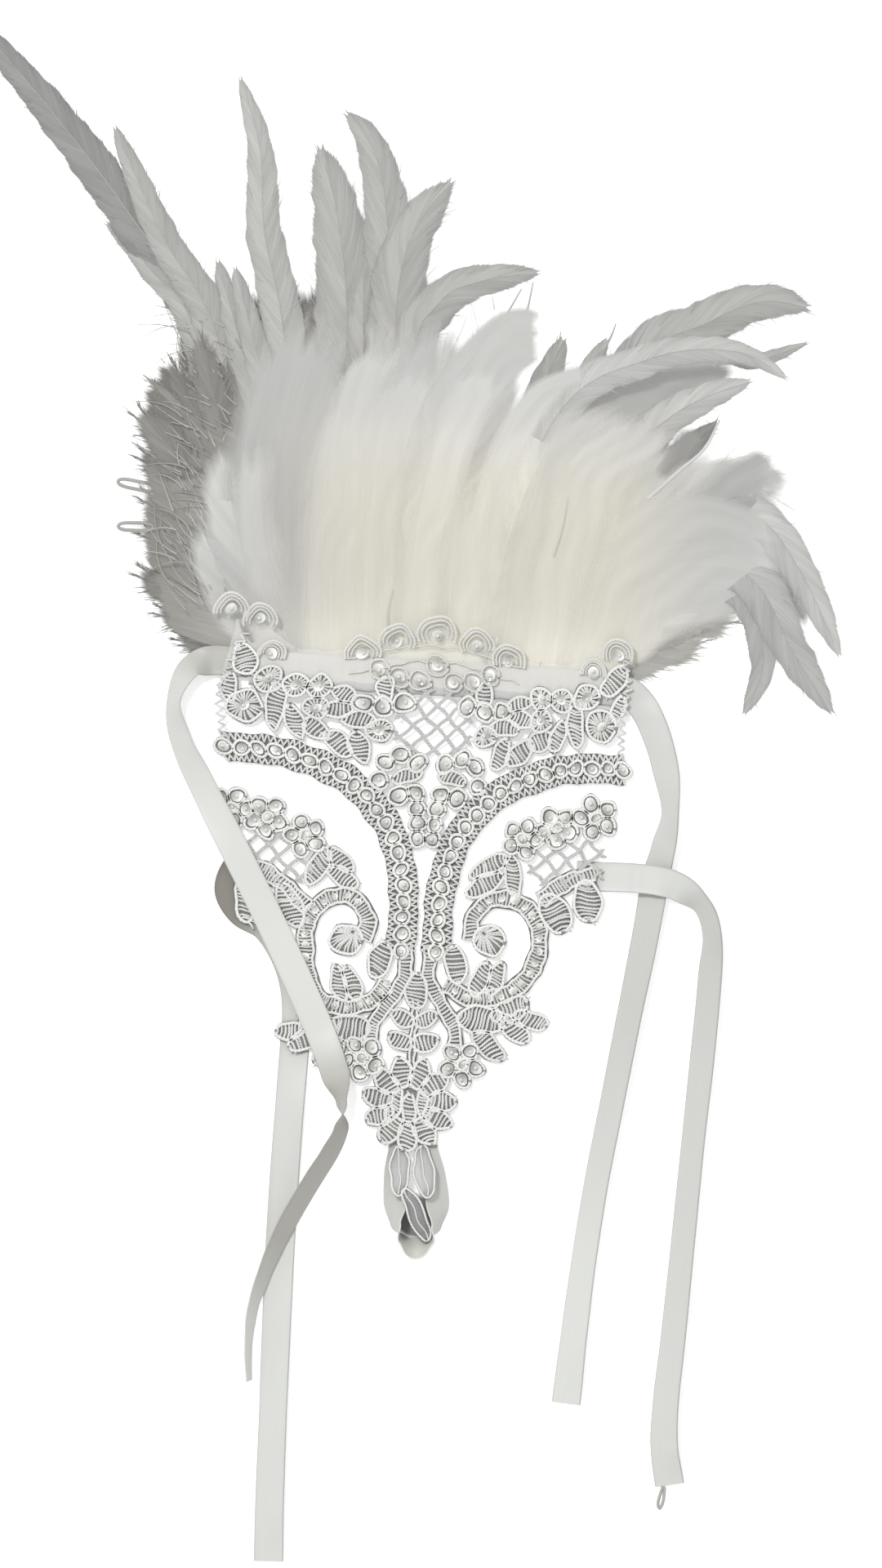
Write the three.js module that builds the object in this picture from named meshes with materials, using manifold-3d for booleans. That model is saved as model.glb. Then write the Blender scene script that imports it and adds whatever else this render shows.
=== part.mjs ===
// Feather wrist cuff, lying open on a table: a corded lace panel for the back of the hand, two rows of
// feathers sewn under its wrist edge, a binding tape over their roots, four satin ribbon ties and a ribbon
// finger loop. Millimetres, +Z up, table at Z = 0. +Y runs from the finger loop to the feathers, +X to the
// right of the lace's middle line. The origin is the middle of the wrist edge, on the table.
import * as THREE from "three";
import { mergeVertices } from "three/addons/utils/BufferGeometryUtils.js";
import Module from "manifold-3d";

const wasm = await Module();
wasm.setup();

// Driving dimensions
const CLEARANCE = 0.3;
const LACE_TOLERANCE = 0.5;
const FEATHER_TOLERANCE = 0.15;
const HEADING_TOLERANCE = 0.005;
const RIBBON_WIDTH = 10;
const RIBBON_THICKNESS = 1;
const RIBBON_STEPS = 28;
const LOOP_STEPS = 26;

const HEADING_THICKNESS = 1;
const BACK_HEADING = { left: -64, right: 62, bottom: -6, top: 7, floor: 0 };
const FRONT_HEADING = { left: -62, right: 61, bottom: -5, top: 6, floor: HEADING_THICKNESS + CLEARANCE };
const TAPE = { left: -63, right: 62, bottom: -7, top: 5, floor: 2 * (HEADING_THICKNESS + CLEARANCE) };
const TAPE_THICKNESS = 1;

// Lace: heights above its own underside, and how far that underside stands above the table
const LACE_FLOOR = 1.6;
const LACE_OVER_TAPE = TAPE.floor + TAPE_THICKNESS + CLEARANCE;
const MOTIF_HEIGHT = 1.2;
const BORDER_HEIGHT = 1.6;
const NET_BAR = 1.2;
const ROUNDEL_HALF_SIDES = 4;
const LEAF_HALF_SIDES = 4;
const FLOWER_HEART_INSET = 1;
// The wrist edge is drawn to the left: by a way, and by shares of the distance to the left and to the right
const LACE_PULL = { most: 2, at: -14, spread: 18, left: 0.12, right: -0.06 };

// The lace's underside climbs onto the tape and over the finger loop, between two places along Y, and its
// crown curls up over the feathers
const LACE_CLIMBS = [
  { from: -28, to: -12, rise: LACE_OVER_TAPE - LACE_FLOOR },
  { from: -156, to: -180, rise: 6.4 },
  { from: -178, to: -192, rise: -1.4 },
];
const LACE_CURL = { from: 6, reach: 20, rise: 8, power: 1.5 };

// Feather blades: thickness at the shaft and the way over which it grows, the share of the shaft where its
// crown stands, the blade's camber, its stations as shares of the shaft, and how far a blade stays flat
// before it rises
const SHAFT_THICKNESS = 2;
const ROOT_THICKNESS = 0.7;
const ROOT_STAGGER = 0.06;
const SHAFT_GROWTH = 20;
const SHAFT_TIP_SHARE = 0.5;
const CROWN_SHARE = 0.5;
const BLADE_CAMBER = 0.14;
const BLADE_STATIONS = [0, 0.1, 0.3, 0.52, 0.74, 0.9, 1];
const BACK_RISE = { start: 24, share: 0.75 };
const FRONT_RISE = { start: 12, share: 0.6 };

// A vane starts as a share of its full width and is full at a share of its length; its tip is drawn by two
// powers, each for a pointed tip and its change for a round one
const VANE = { start: 0.2, full: 0.36, bow: 3.6, round_bow: 5, taper: 0.78, round_taper: 0.3, least: 0.7 };

// Lace motifs, given as on the right half and mirrored to the left. A row with a side stands on that side
// only (1 right, -1 left), as the left half lies lower and further out than the right one.
// x, y: middle; r: radius
const ROUNDELS = [
  { x: 0, y: 13.5, r: 6.6 },
  { x: 13.5, y: 10.6, r: 6 },
  { x: 24.6, y: 6, r: 5.8 },
  { x: 54, y: 4, r: 4.4 },
  { x: 62, y: 10.4, r: 5.2, side: 1 },
  { x: 60, y: 15.4, r: 5.6, side: -1 },
  { x: 70, y: 18.2, r: 5.8, side: -1 },
  { x: 0, y: 3.3, r: 3.6 },
  { x: 5.6, y: -2, r: 3.4 },
  { x: 12.4, y: -1.6, r: 3.4 },
  { x: 18.6, y: 1, r: 3.4 },
  { x: 10.4, y: -10, r: 3.4 },
  { x: 16.6, y: -11.8, r: 3.2 },
  { x: 23, y: -11, r: 3.2 },
  { x: 17.6, y: -19.8, r: 3.9 },
  { x: 36.8, y: -6, r: 3.8 },
  { x: 44.2, y: -6.2, r: 4 },
  { x: 37.2, y: -13.4, r: 3.9 },
  { x: 59, y: -14, r: 5.6 },
  { x: 53, y: -4.6, r: 4.6 },
  { x: 4.5, y: -30, r: 3.1 },
  { x: 10.5, y: -27.8, r: 3.1 },
  { x: 15, y: -30.4, r: 3 },
  { x: 16.8, y: -37, r: 3 },
  { x: 4.3, y: -40.5, r: 3 },
  { x: 10, y: -41.5, r: 3.4 },
  { x: 3.2, y: -45.6, r: 2.9 },
  { x: 2.9, y: -50.6, r: 2.8 },
  { x: 2.6, y: -55.8, r: 2.8 },
  { x: 24, y: -89, r: 5.4, side: 1 },
  { x: 24.9, y: -91.4, r: 5.4, side: -1 },
];

// x, y: middle of a ring of petals; ring: its radius; phase: first petal's turn in degrees
const FLOWERS = [
  { x: 33.2, y: -53.8, ring: 4.6, petals: 5, petal: 2.8, phase: 70, side: 1 },
  { x: 44.6, y: -49.3, ring: 4.3, petals: 5, petal: 3, phase: 55, side: 1 },
  { x: 57.6, y: -45.2, ring: 4.9, petals: 5, petal: 3, phase: 40, side: 1 },
  { x: 40.7, y: -57, ring: 4.6, petals: 5, petal: 2.8, phase: 70, side: -1 },
  { x: 54, y: -51.5, ring: 4.5, petals: 5, petal: 3.1, phase: 55, side: -1 },
  { x: 66, y: -49, ring: 4.6, petals: 5, petal: 2.8, phase: 40, side: -1 },
  { x: 17, y: -131.4, ring: 5, petals: 5, petal: 2.9, phase: 60 },
];
const TIP_FLOWER = { y: -146, ring: 12, petals: 11, petal: 3.7, heart: 9.4, phase: 270 };

// x, y: middle; turn: degrees of the long axis from +X
const LEAVES = [
  { x: 16.6, y: -5.6, length: 9, width: 5.6, turn: 90 },
  { x: 29, y: -8.2, length: 8.6, width: 5, turn: 20 },
  { x: 30.4, y: -13.4, length: 9.6, width: 5.4, turn: -12 },
  { x: 24, y: -16.6, length: 11, width: 5.6, turn: 0 },
  { x: 37.2, y: -20.4, length: 9, width: 6.4, turn: 30 },
  { x: 43.6, y: -18.4, length: 12, width: 5.6, turn: 75 },
  { x: 49.6, y: -13.4, length: 17, width: 6, turn: 95 },
  { x: 62, y: 1.5, length: 12, width: 7.4, turn: 60 },
  { x: 64.5, y: -8, length: 10, width: 5, turn: 80 },
  { x: 23.6, y: -25.8, length: 11.5, width: 6.4, turn: 75 },
  { x: 30.2, y: -25, length: 11.5, width: 6.4, turn: 45 },
  { x: 7.6, y: -34.6, length: 10, width: 5, turn: -15 },
  { x: 22.2, y: -63.8, length: 15, width: 6, turn: 32, side: 1 },
  { x: 21.2, y: -70, length: 14, width: 6, turn: 36, side: 1 },
  { x: 30.6, y: -66.6, length: 15, width: 5.6, turn: 100, side: 1 },
  { x: 28.2, y: -64.6, length: 11, width: 6, turn: 42, side: -1 },
  { x: 26.7, y: -70.6, length: 11.5, width: 6, turn: 25, side: -1 },
  { x: 35.6, y: -67, length: 14, width: 7, turn: 118, side: -1 },
  { x: 13, y: -97.8, length: 13, width: 7.4, turn: 105 },
  { x: 21.6, y: -102.4, length: 13, width: 5.4, turn: 66, side: 1 },
  { x: 26.8, y: -102, length: 13, width: 5.4, turn: 76, side: 1 },
  { x: 21.7, y: -106.2, length: 13, width: 5.4, turn: 66, side: -1 },
  { x: 26.4, y: -106.4, length: 13, width: 5.4, turn: 76, side: -1 },
  { x: 45.8, y: -78.4, length: 14, width: 10.4, turn: -58, side: 1 },
  { x: 56.4, y: -73.6, length: 15, width: 9.4, turn: -82, side: 1 },
  { x: 44.6, y: -81, length: 16, width: 8.6, turn: 62, side: -1 },
  { x: 59.4, y: -78.4, length: 19, width: 8, turn: 84, side: -1 },
  { x: 22.8, y: -116, length: 18, width: 9, turn: -4, side: 1 },
  { x: 32.4, y: -112.2, length: 14, width: 8, turn: 28, side: 1 },
  { x: 34, y: -118.6, length: 12.5, width: 7, turn: -42, side: 1 },
  { x: 39.4, y: -115.2, length: 12, width: 6.4, turn: -14, side: 1 },
  { x: 25.6, y: -124.6, length: 14, width: 7, turn: -42, side: 1 },
  { x: 23.6, y: -121.6, length: 18, width: 9, turn: -4, side: -1 },
  { x: 33, y: -120, length: 14, width: 8, turn: 28, side: -1 },
  { x: 36.6, y: -126, length: 12, width: 6.6, turn: -35, side: -1 },
  { x: 42, y: -123.6, length: 10, width: 6, turn: -10, side: -1 },
  { x: 28.4, y: -129.8, length: 13, width: 6.6, turn: -42, side: -1 },
  { x: 4, y: -117, length: 8.6, width: 5.4, turn: 24 },
  { x: 4.3, y: -124.8, length: 9, width: 6.2, turn: 20 },
  { x: 5, y: -146.4, length: 12, width: 5, turn: 100 },
];

// The bud on the middle line, and the three sheer leaves that hang from the tip over the finger loop
const MIDDLE_LEAVES = [
  { x: 0, y: -107.4, length: 12, width: 8, turn: 90 },
  { x: -2.2, y: -168.6, length: 18, width: 6.2, turn: 94 },
  { x: 6, y: -168, length: 20, width: 6.8, turn: 98 },
  { x: 4, y: -181.6, length: 20, width: 5.4, turn: -63 },
];

// Strips follow a smooth line through their points, [x, y]
const BAND_LINE = [
  [67, -28.4], [59, -28.4], [50, -28.9], [41, -31], [31.4, -34.8], [23, -40.2], [16.6, -47],
  [11.6, -54.4], [8.6, -62], [6.8, -70], [6, -78], [6, -86], [6, -94],
];
const BAND = { width: 10.6, border: 3, steps: 13 };
const STRIPS = [
  { width: 5.6, steps: 15, side: 1, line: [
    [9.6, -104.6], [18, -108.8], [26.6, -108.3], [34.6, -104], [39.6, -96.5], [41, -88], [38.6, -80],
    [33, -75.5], [26.2, -74.4], [20.8, -77.3], [17.6, -82.5], [18, -88.8],
  ] },
  { width: 5.6, steps: 15, side: -1, line: [
    [9.6, -105.5], [14.2, -111], [20, -114], [26.6, -114.4], [33, -111.6], [36.7, -104.8], [38.5, -94.7],
    [38, -86.5], [34.5, -80], [27.7, -76.4], [21.5, -78.5], [17.6, -84.7], [19, -91],
  ] },
  { width: 5.4, steps: 5, side: 1, line: [[40.6, -74.4], [45.4, -70], [51, -66.6], [58, -64.4]] },
  { width: 5.4, steps: 5, side: -1, line: [[38, -82], [44.5, -76], [51.5, -71], [59, -67.6]] },
  { width: 4.6, steps: 6, line: [[4.2, -92], [4.2, -103], [9.2, -112], [13.6, -119], [14.4, -126]] },
  { width: 3.4, steps: 5, line: [[27, 3.6], [36, 2.6], [46, 4.4], [55, 8], [62, 11]] },
  { width: 3, steps: 3, line: [[30, -2], [40, -1.6], [52, -1]] },
  { width: 6, steps: 6, line: [[-1, 7.4], [10, 6.6], [20, 3.4], [29, 1.6]] },
  { width: 3, steps: 12, line: [[64, 10], [66.6, 0], [66.4, -14], [66, -28]] },
];
const STEM = { width: 2.2, top: -110, bottom: -140 };

// Net of crossed bars in a diamond frame: middle, half width, half height and bar spacing
const NETS = [
  { x: 0, y: -17.6, half_width: 12.5, half_height: 12.5, spacing: 5.2, side: 1 },
  { x: 48.6, y: -60.4, half_width: 12.5, half_height: 8.6, spacing: 5.2, side: 1 },
  { x: 49.4, y: -64.4, half_width: 12.5, half_height: 8.6, spacing: 5.2, side: -1 },
];

// Plumes: places the shaft passes from its root on the heading to its tip, width of the vane, height of its
// crown and of its end above the table, and how round the tip is (0 pointed, 1 round)
const BACK_PLUMES = [
  { line: [[-57, 0], [-84, 108], [-112, 149], [-142, 184], [-172, 215]],
    width: 17.5, crown: 12, end: 20, round: 0.2 },
  { line: [[-51, 0], [-79, 106], [-101, 143], [-119.5, 179.5]], width: 14, crown: 9, end: 15, round: 0.3 },
  { line: [[-57, 0], [-86, 106], [-104, 131], [-121, 147]], width: 13, crown: 7, end: 9, round: 0.1 },
  { line: [[-47, 0], [-64, 80], [-82, 136.5]], width: 12, crown: 6, end: 8, round: 0.5 },
  { line: [[-44, 0], [-61, 84], [-76, 134.5]], width: 11, crown: 7, end: 9, round: 0.5 },
  { line: [[-46, 0], [-57, 106], [-66.5, 146], [-69.5, 174], [-78, 198.5]],
    width: 14, crown: 10, end: 18, round: 0 },
  { line: [[-28, 0], [-39, 110], [-44, 150], [-49.5, 177]], width: 18.5, crown: 9, end: 14, round: 0.4 },
  { line: [[-22, 0], [-30, 100], [-33, 146]], width: 14, crown: 8, end: 10, round: 0.5 },
  { line: [[-14, 0], [-21, 110], [-26.5, 160], [-33.5, 180], [-42, 188.5]],
    width: 12, crown: 11, end: 15, round: 0.3 },
  { line: [[-14, 0], [-20, 100], [-19, 146], [-3.6, 168]], width: 14, crown: 12, end: 14, round: 0.2 },
  { line: [[-4, 0], [-14, 100], [-6, 127], [9, 136.5], [28, 138.3]],
    width: 13.5, crown: 14, end: 12, round: 0.1 },
  { line: [[16, 0], [26, 80], [37, 117]], width: 12, crown: 8, end: 9, round: 1 },
  { line: [[20, 0], [38, 84], [52, 118]], width: 11, crown: 8, end: 8, round: 0.6 },
  { line: [[22, 0], [58, 104], [86, 128], [104, 135.5], [120, 133]],
    width: 15, crown: 14, end: 12, round: 0.5 },
  { line: [[34, 0], [80, 104], [104, 113], [120.5, 120.5]], width: 10.5, crown: 10, end: 8, round: 0.1 },
  { line: [[40, 0], [66, 62], [91, 92]], width: 14, crown: 7, end: 9, round: 0.2 },
  { line: [[-56, 0], [-74, 70], [-87.5, 110]], width: 15, crown: 6, end: 8, round: 0.4 },
  { line: [[-57, 0], [-78, 68], [-97.5, 102]], width: 13, crown: 4, end: 5, round: 0.4 },
  { line: [[-58, 0], [-84, 74], [-105.5, 96]], width: 6, crown: 4, end: 5, round: 0 },
  { line: [[-60, 0], [-84, 58], [-107, 84]], width: 17, crown: 5, end: 7, round: 0.9 },
  { line: [[-60, 0], [-86, 54], [-106, 70]], width: 15, crown: 3, end: 3, round: 0.5 },
  { line: [[-61, 0], [-86, 42], [-104, 56]], width: 16, crown: 3, end: 3, round: 0.6 },
  { line: [[-61, 0], [-84, 32], [-103, 44]], width: 16, crown: 3, end: 2, round: 0.5 },
  { line: [[-61, 0], [-84, 20], [-104, 30]], width: 17, crown: 2, end: 1, round: 0.8 },
  { line: [[-61, 0], [-79, 11], [-97, 17]], width: 14, crown: 1, end: 0.5, round: 0.5 },
  { line: [[-61, 0], [-75, 4], [-90, 8.5]], width: 11, crown: 1, end: 0.5, round: 0.5 },
  { line: [[58, 0], [70, 9], [92, 19]], width: 15, crown: 2, end: 0.5, round: 0.5 },
  { line: [[54, 0], [76, 20], [102, 26]], width: 17, crown: 4, end: 0.5, round: 0.5 },
];
const FRONT_PLUMES = [
  { line: [[-58, 0], [-72.5, 26], [-84.5, 50]], width: 22, crown: 12, end: 9, round: 0.7 },
  { line: [[-56, 0], [-62, 30], [-64, 68]], width: 24, crown: 16, end: 14, round: 0.8 },
  { line: [[-54, 0], [-68, 40], [-78, 76]], width: 25, crown: 22, end: 20, round: 0.7 },
  { line: [[-48, 0], [-56, 50], [-64, 98]], width: 26, crown: 30, end: 28, round: 0.7 },
  { line: [[-38, 0], [-44, 54], [-46, 108]], width: 28, crown: 36, end: 32, round: 0.8 },
  { line: [[-24, 0], [-28, 58], [-25, 113]], width: 30, crown: 40, end: 34, round: 0.8 },
  { line: [[-12, 0], [-10, 58], [0, 119]], width: 30, crown: 42, end: 34, round: 0.8 },
  { line: [[-2, 0], [4, 55], [11, 95], [15.5, 126.5]], width: 29, crown: 42, end: 32, round: 1 },
  { line: [[8, 0], [34, 86], [66, 110], [95, 114.5], [113.5, 106]],
    width: 14, crown: 42, end: 26, round: 0.1 },
  { line: [[14, 0], [24, 54], [37, 84], [50, 101]], width: 28, crown: 41, end: 33, round: 0.9 },
  { line: [[26, 0], [40, 50], [56, 78], [74, 96]], width: 26, crown: 38, end: 28, round: 0.8 },
  { line: [[34, 0], [52, 64], [75, 92], [101, 105.5]], width: 15, crown: 34, end: 24, round: 0.4 },
  { line: [[46, 0], [57, 34], [70, 51], [94, 58]], width: 26, crown: 30, end: 22, round: 0.9 },
  { line: [[48, 0], [74, 56], [97, 70], [118.5, 66]], width: 27, crown: 28, end: 16, round: 0.9 },
  { line: [[52, 0], [80, 52], [104, 60], [121, 43], [137, 14]], width: 13, crown: 26, end: 8, round: 0.1 },
  { line: [[55, 0], [82, 44], [106, 38], [120, 16], [135.7, -5.3]],
    width: 13, crown: 22, end: 5, round: 0.1 },
  { line: [[57, 0], [80, 36], [102, 32], [111, 11], [105.4, -7.5]],
    width: 11, crown: 18, end: 4, round: 0.1 },
  { line: [[57, 0], [74, 24], [100, 38]], width: 22, crown: 15, end: 8, round: 0.7 },
];

// Ribbon routes: x, y; under: height of what carries the ribbon there; roll: turn about its own length,
// in degrees
const LEFT_UPPER_RIBBON = [
  { x: -63.6, y: 0.4, under: 2.6, roll: 0 },
  { x: -68, y: 0.4, under: 2.6, roll: 0 },
  { x: -75.5, y: 0.6, under: 2.4, roll: 0 },
  { x: -83, y: -2, under: 1.2, roll: 40 },
  { x: -88, y: -14, under: 0, roll: 62 },
  { x: -84.8, y: -27, under: 0, roll: 42 },
  { x: -77.5, y: -40.5, under: 0.6, roll: 26 },
  { x: -63.8, y: -64, under: 3.4, roll: 6 },
  { x: -48, y: -91.8, under: 3.4, roll: 0 },
  { x: -33.2, y: -120, under: 3.4, roll: 0 },
  { x: -26.1, y: -136.2, under: 3.4, roll: 14 },
  { x: -23, y: -146.8, under: 2.6, roll: 70 },
  { x: -22.6, y: -155.5, under: 1.8, roll: 118 },
  { x: -26, y: -164, under: 1.6, roll: 126 },
  { x: -31, y: -173, under: 1.6, roll: 128 },
  { x: -38.2, y: -187, under: 1.6, roll: 128 },
  { x: -42.6, y: -197, under: 1.6, roll: 122 },
  { x: -46.2, y: -207.5, under: 1.5, roll: 116 },
  { x: -49, y: -218.7, under: 1.5, roll: 110 },
  { x: -49.7, y: -232, under: 0, roll: 102 },
  { x: -48.8, y: -243, under: 0, roll: 98 },
];
const LEFT_LOWER_RIBBON = [
  { x: -57, y: -64, under: 0, roll: 0 },
  { x: -63.5, y: -69.5, under: 0, roll: 0 },
  { x: -65.5, y: -77, under: 0, roll: 0 },
  { x: -61, y: -84, under: 0, roll: 0 },
  { x: -52.6, y: -88.4, under: 0, roll: 0 },
  { x: -46, y: -96.8, under: 0, roll: 0 },
  { x: -42, y: -106, under: 0, roll: 0 },
  { x: -40.2, y: -116, under: 0, roll: 0 },
  { x: -40.2, y: -130, under: 0, roll: 0 },
  { x: -40.6, y: -150, under: 0, roll: 10 },
  { x: -41, y: -176, under: 0, roll: 3 },
  { x: -41, y: -200, under: 0, roll: 2 },
  { x: -40.6, y: -226, under: 0, roll: 12 },
  { x: -40, y: -256, under: 0, roll: 18 },
  { x: -39.4, y: -284, under: 0, roll: 12 },
  { x: -38.6, y: -304, under: 0, roll: 2 },
];
const RIGHT_UPPER_RIBBON = [
  { x: 62.8, y: -1.6, under: 2.6, roll: 0 },
  { x: 66, y: -1.8, under: 2.6, roll: 0 },
  { x: 70.4, y: -5.4, under: 1.8, roll: 0 },
  { x: 74.6, y: -12, under: 0.6, roll: 14 },
  { x: 79.6, y: -25, under: 0, roll: 26 },
  { x: 82.6, y: -42, under: 0, roll: 56 },
  { x: 81, y: -54, under: 0, roll: 36 },
  { x: 79, y: -65, under: 0, roll: 20 },
  { x: 76.6, y: -85, under: 0, roll: 26 },
  { x: 72.6, y: -113, under: 0, roll: 34 },
  { x: 68.8, y: -141, under: 0, roll: 36 },
  { x: 65, y: -169, under: 0, roll: 36 },
  { x: 62.4, y: -195, under: 0, roll: 34 },
  { x: 60.6, y: -220, under: 0, roll: 28 },
  { x: 59.2, y: -244.4, under: 0, roll: 14 },
];
const RIGHT_LOWER_RIBBON = [
  { x: 52, y: -65, under: 0.2, roll: 0 },
  { x: 60, y: -65, under: 0.2, roll: 0 },
  { x: 67, y: -64.8, under: 1.6, roll: 2 },
  { x: 74, y: -64.8, under: 4, roll: 4 },
  { x: 81, y: -65.4, under: 5.6, roll: 6 },
  { x: 87, y: -67, under: 4.6, roll: 18 },
  { x: 95.6, y: -73, under: 0, roll: 52 },
  { x: 99.2, y: -82, under: 0, roll: 52 },
  { x: 99.4, y: -97, under: 0, roll: 38 },
  { x: 98.4, y: -125, under: 0, roll: 36 },
  { x: 97, y: -153, under: 0, roll: 40 },
  { x: 95.6, y: -187, under: 0, roll: 38 },
  { x: 94.2, y: -220, under: 0, roll: 34 },
  { x: 93, y: -243, under: 0, roll: 30 },
  { x: 93.4, y: -257, under: 0, roll: 22 },
  { x: 96, y: -270, under: 0, roll: 8 },
];
// The finger loop also narrows where its two ends are gathered under the lace tip; share: part of the width
const FINGER_LOOP = [
  { x: -2.6, y: -151, under: 0.2, roll: 0, share: 0.62 },
  { x: -2.8, y: -160, under: 0.2, roll: 4, share: 0.66 },
  { x: -3, y: -170, under: 0, roll: 22, share: 0.9 },
  { x: -2.8, y: -179, under: 0, roll: 36, share: 1 },
  { x: -2.2, y: -187, under: 0, roll: 70, share: 1 },
  { x: 0.4, y: -192, under: 0, roll: 106, share: 1 },
  { x: 5, y: -194.4, under: 0, roll: 142, share: 1 },
  { x: 9.6, y: -192, under: 0, roll: 106, share: 1 },
  { x: 11.6, y: -187, under: 0, roll: 72, share: 1 },
  { x: 11.6, y: -179, under: 0, roll: 38, share: 1 },
  { x: 9.6, y: -170, under: 0, roll: 22, share: 0.9 },
  { x: 7.2, y: -160, under: 0.2, roll: 4, share: 0.66 },
  { x: 6.2, y: -151, under: 0.2, roll: 0, share: 0.62 },
];

const FINISHES = {
  lace: { color: "#f1f0ec", roughness: 0.7 },
  tape: { color: "#dcdad8", roughness: 0.5 },
  plume: { color: "#dddbd6", roughness: 0.8 },
  feather: { color: "#e9e6dc", roughness: 0.8 },
  satin: { color: "#e2e4de", roughness: 0.4 },
};

const UP = new THREE.Vector3(0, 0, 1);

function smooth(value) {
  return THREE.MathUtils.smoothstep(value, 0, 1);
}

// Solids

function toSolid(geometry) {
  const bare = geometry.clone();
  bare.deleteAttribute("normal");
  bare.deleteAttribute("uv");
  const merged = mergeVertices(bare, 1e-5);
  return new wasm.Manifold(new wasm.Mesh({
    numProp: 3,
    vertProperties: new Float32Array(merged.attributes.position.array),
    triVerts: new Uint32Array(merged.index.array),
  }));
}

function toGeometry(solid) {
  const mesh = solid.getMesh();
  const geometry = new THREE.BufferGeometry();
  geometry.setAttribute("position", new THREE.BufferAttribute(mesh.vertProperties, 3));
  geometry.setIndex(new THREE.BufferAttribute(mesh.triVerts, 1));
  geometry.computeVertexNormals();
  return geometry;
}

function joined(solids) {
  return solids.reduce((whole, solid) => whole.add(solid));
}

// The same body with the faces that lie in one plane merged
function tidied(solid, tolerance) {
  return solid.asOriginal().simplify(tolerance);
}

// The outer skin of a joined body, without the small pockets that close between its members
function withoutPockets(solid) {
  return solid.decompose().reduce((largest, body) => (body.volume() > largest.volume() ? body : largest));
}

// A closed body through sections of equally many corners, capped at both ends
function loft(sections) {
  const corners = sections[0].length;
  const positions = sections.flat().flatMap((point) => point.toArray());
  const faces = [];
  for (let i = 0; i + 1 < sections.length; i += 1) {
    for (let j = 0; j < corners; j += 1) {
      const next = (j + 1) % corners;
      const a = i * corners + j;
      const b = i * corners + next;
      faces.push(a, b + corners, b, a, a + corners, b + corners);
    }
  }
  const last = (sections.length - 1) * corners;
  for (let j = 1; j + 1 < corners; j += 1) {
    faces.push(0, j, j + 1, last, last + j + 1, last + j);
  }
  const geometry = new THREE.BufferGeometry();
  geometry.setAttribute("position", new THREE.Float32BufferAttribute(positions, 3));
  geometry.setIndex(faces);
  return geometry;
}

function slab(edges, thickness) {
  const width = edges.right - edges.left;
  const depth = edges.top - edges.bottom;
  const box = new THREE.BoxGeometry(width, depth, thickness);
  box.translate((edges.left + edges.right) / 2, (edges.bottom + edges.top) / 2, edges.floor + thickness / 2);
  return box;
}

// Lace

function plate(shape, height, halfSides) {
  const options = { depth: height, bevelEnabled: false, curveSegments: halfSides };
  return toSolid(new THREE.ExtrudeGeometry(shape, options));
}

function roundel(x, y, radius) {
  const shape = new THREE.Shape().absarc(x, y, radius, 0, 2 * Math.PI);
  return plate(shape, MOTIF_HEIGHT, ROUNDEL_HALF_SIDES);
}

// A leaf is an ellipse whose long axis is turned
function leaf(x, y, length, width, turn) {
  const angle = THREE.MathUtils.degToRad(turn);
  const shape = new THREE.Shape().absellipse(x, y, length / 2, width / 2, 0, 2 * Math.PI, false, angle);
  return plate(shape, MOTIF_HEIGHT, LEAF_HALF_SIDES);
}

// A strip is the outline of a smooth line, half its width to each side
function strip(line, width, height, steps, shift = 0) {
  const curve = new THREE.SplineCurve(line.map(([x, y]) => new THREE.Vector2(x, y)));
  const left = [];
  const right = [];
  for (let i = 0; i <= steps; i += 1) {
    const point = curve.getPointAt(i / steps);
    const along = curve.getTangentAt(i / steps);
    const across = new THREE.Vector2(-along.y, along.x);
    left.push(point.clone().addScaledVector(across, shift + width / 2));
    right.push(point.clone().addScaledVector(across, shift - width / 2));
  }
  return plate(new THREE.Shape([...right, ...left.reverse()]), height);
}

// Crossed bars at 45 degrees, cut to a diamond-cornered frame
function netBars(net, side) {
  const { half_width: halfWidth, half_height: halfHeight, spacing } = net;
  const reach = halfWidth + halfHeight;
  const bars = [];
  const count = Math.floor(reach / (spacing * Math.SQRT2));
  for (let i = -count; i <= count; i += 1) {
    const offset = i * spacing * Math.SQRT2;
    const low = Math.max(-halfWidth, offset - halfHeight);
    const high = Math.min(halfWidth, offset + halfHeight);
    for (const slope of [1, -1]) {
      const start = [side * net.x + slope * low, net.y + low - offset];
      const end = [side * net.x + slope * high, net.y + high - offset];
      bars.push(strip([start, end], NET_BAR, MOTIF_HEIGHT, 1));
    }
  }
  return bars;
}

function sidesOf(row) {
  return row.side ? [row.side] : [1, -1];
}

// Height of the lace's underside above the table
function laceFloor(y) {
  const climbs = LACE_CLIMBS.map(({ from, to, rise }) => rise * smooth((y - from) / (to - from)));
  const curl = LACE_CURL.rise * Math.max(0, (y - LACE_CURL.from) / LACE_CURL.reach) ** LACE_CURL.power;
  return climbs.reduce((sum, climb) => sum + climb, LACE_FLOOR + curl);
}

// The lace's plan as it lies: near the wrist edge it is drawn to the left
function lacePlace(x, y) {
  const pull = Math.exp(-(((y - LACE_PULL.at) / LACE_PULL.spread) ** 2));
  return x + pull * (LACE_PULL.most + (x < 0 ? LACE_PULL.left : LACE_PULL.right) * x);
}

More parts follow.
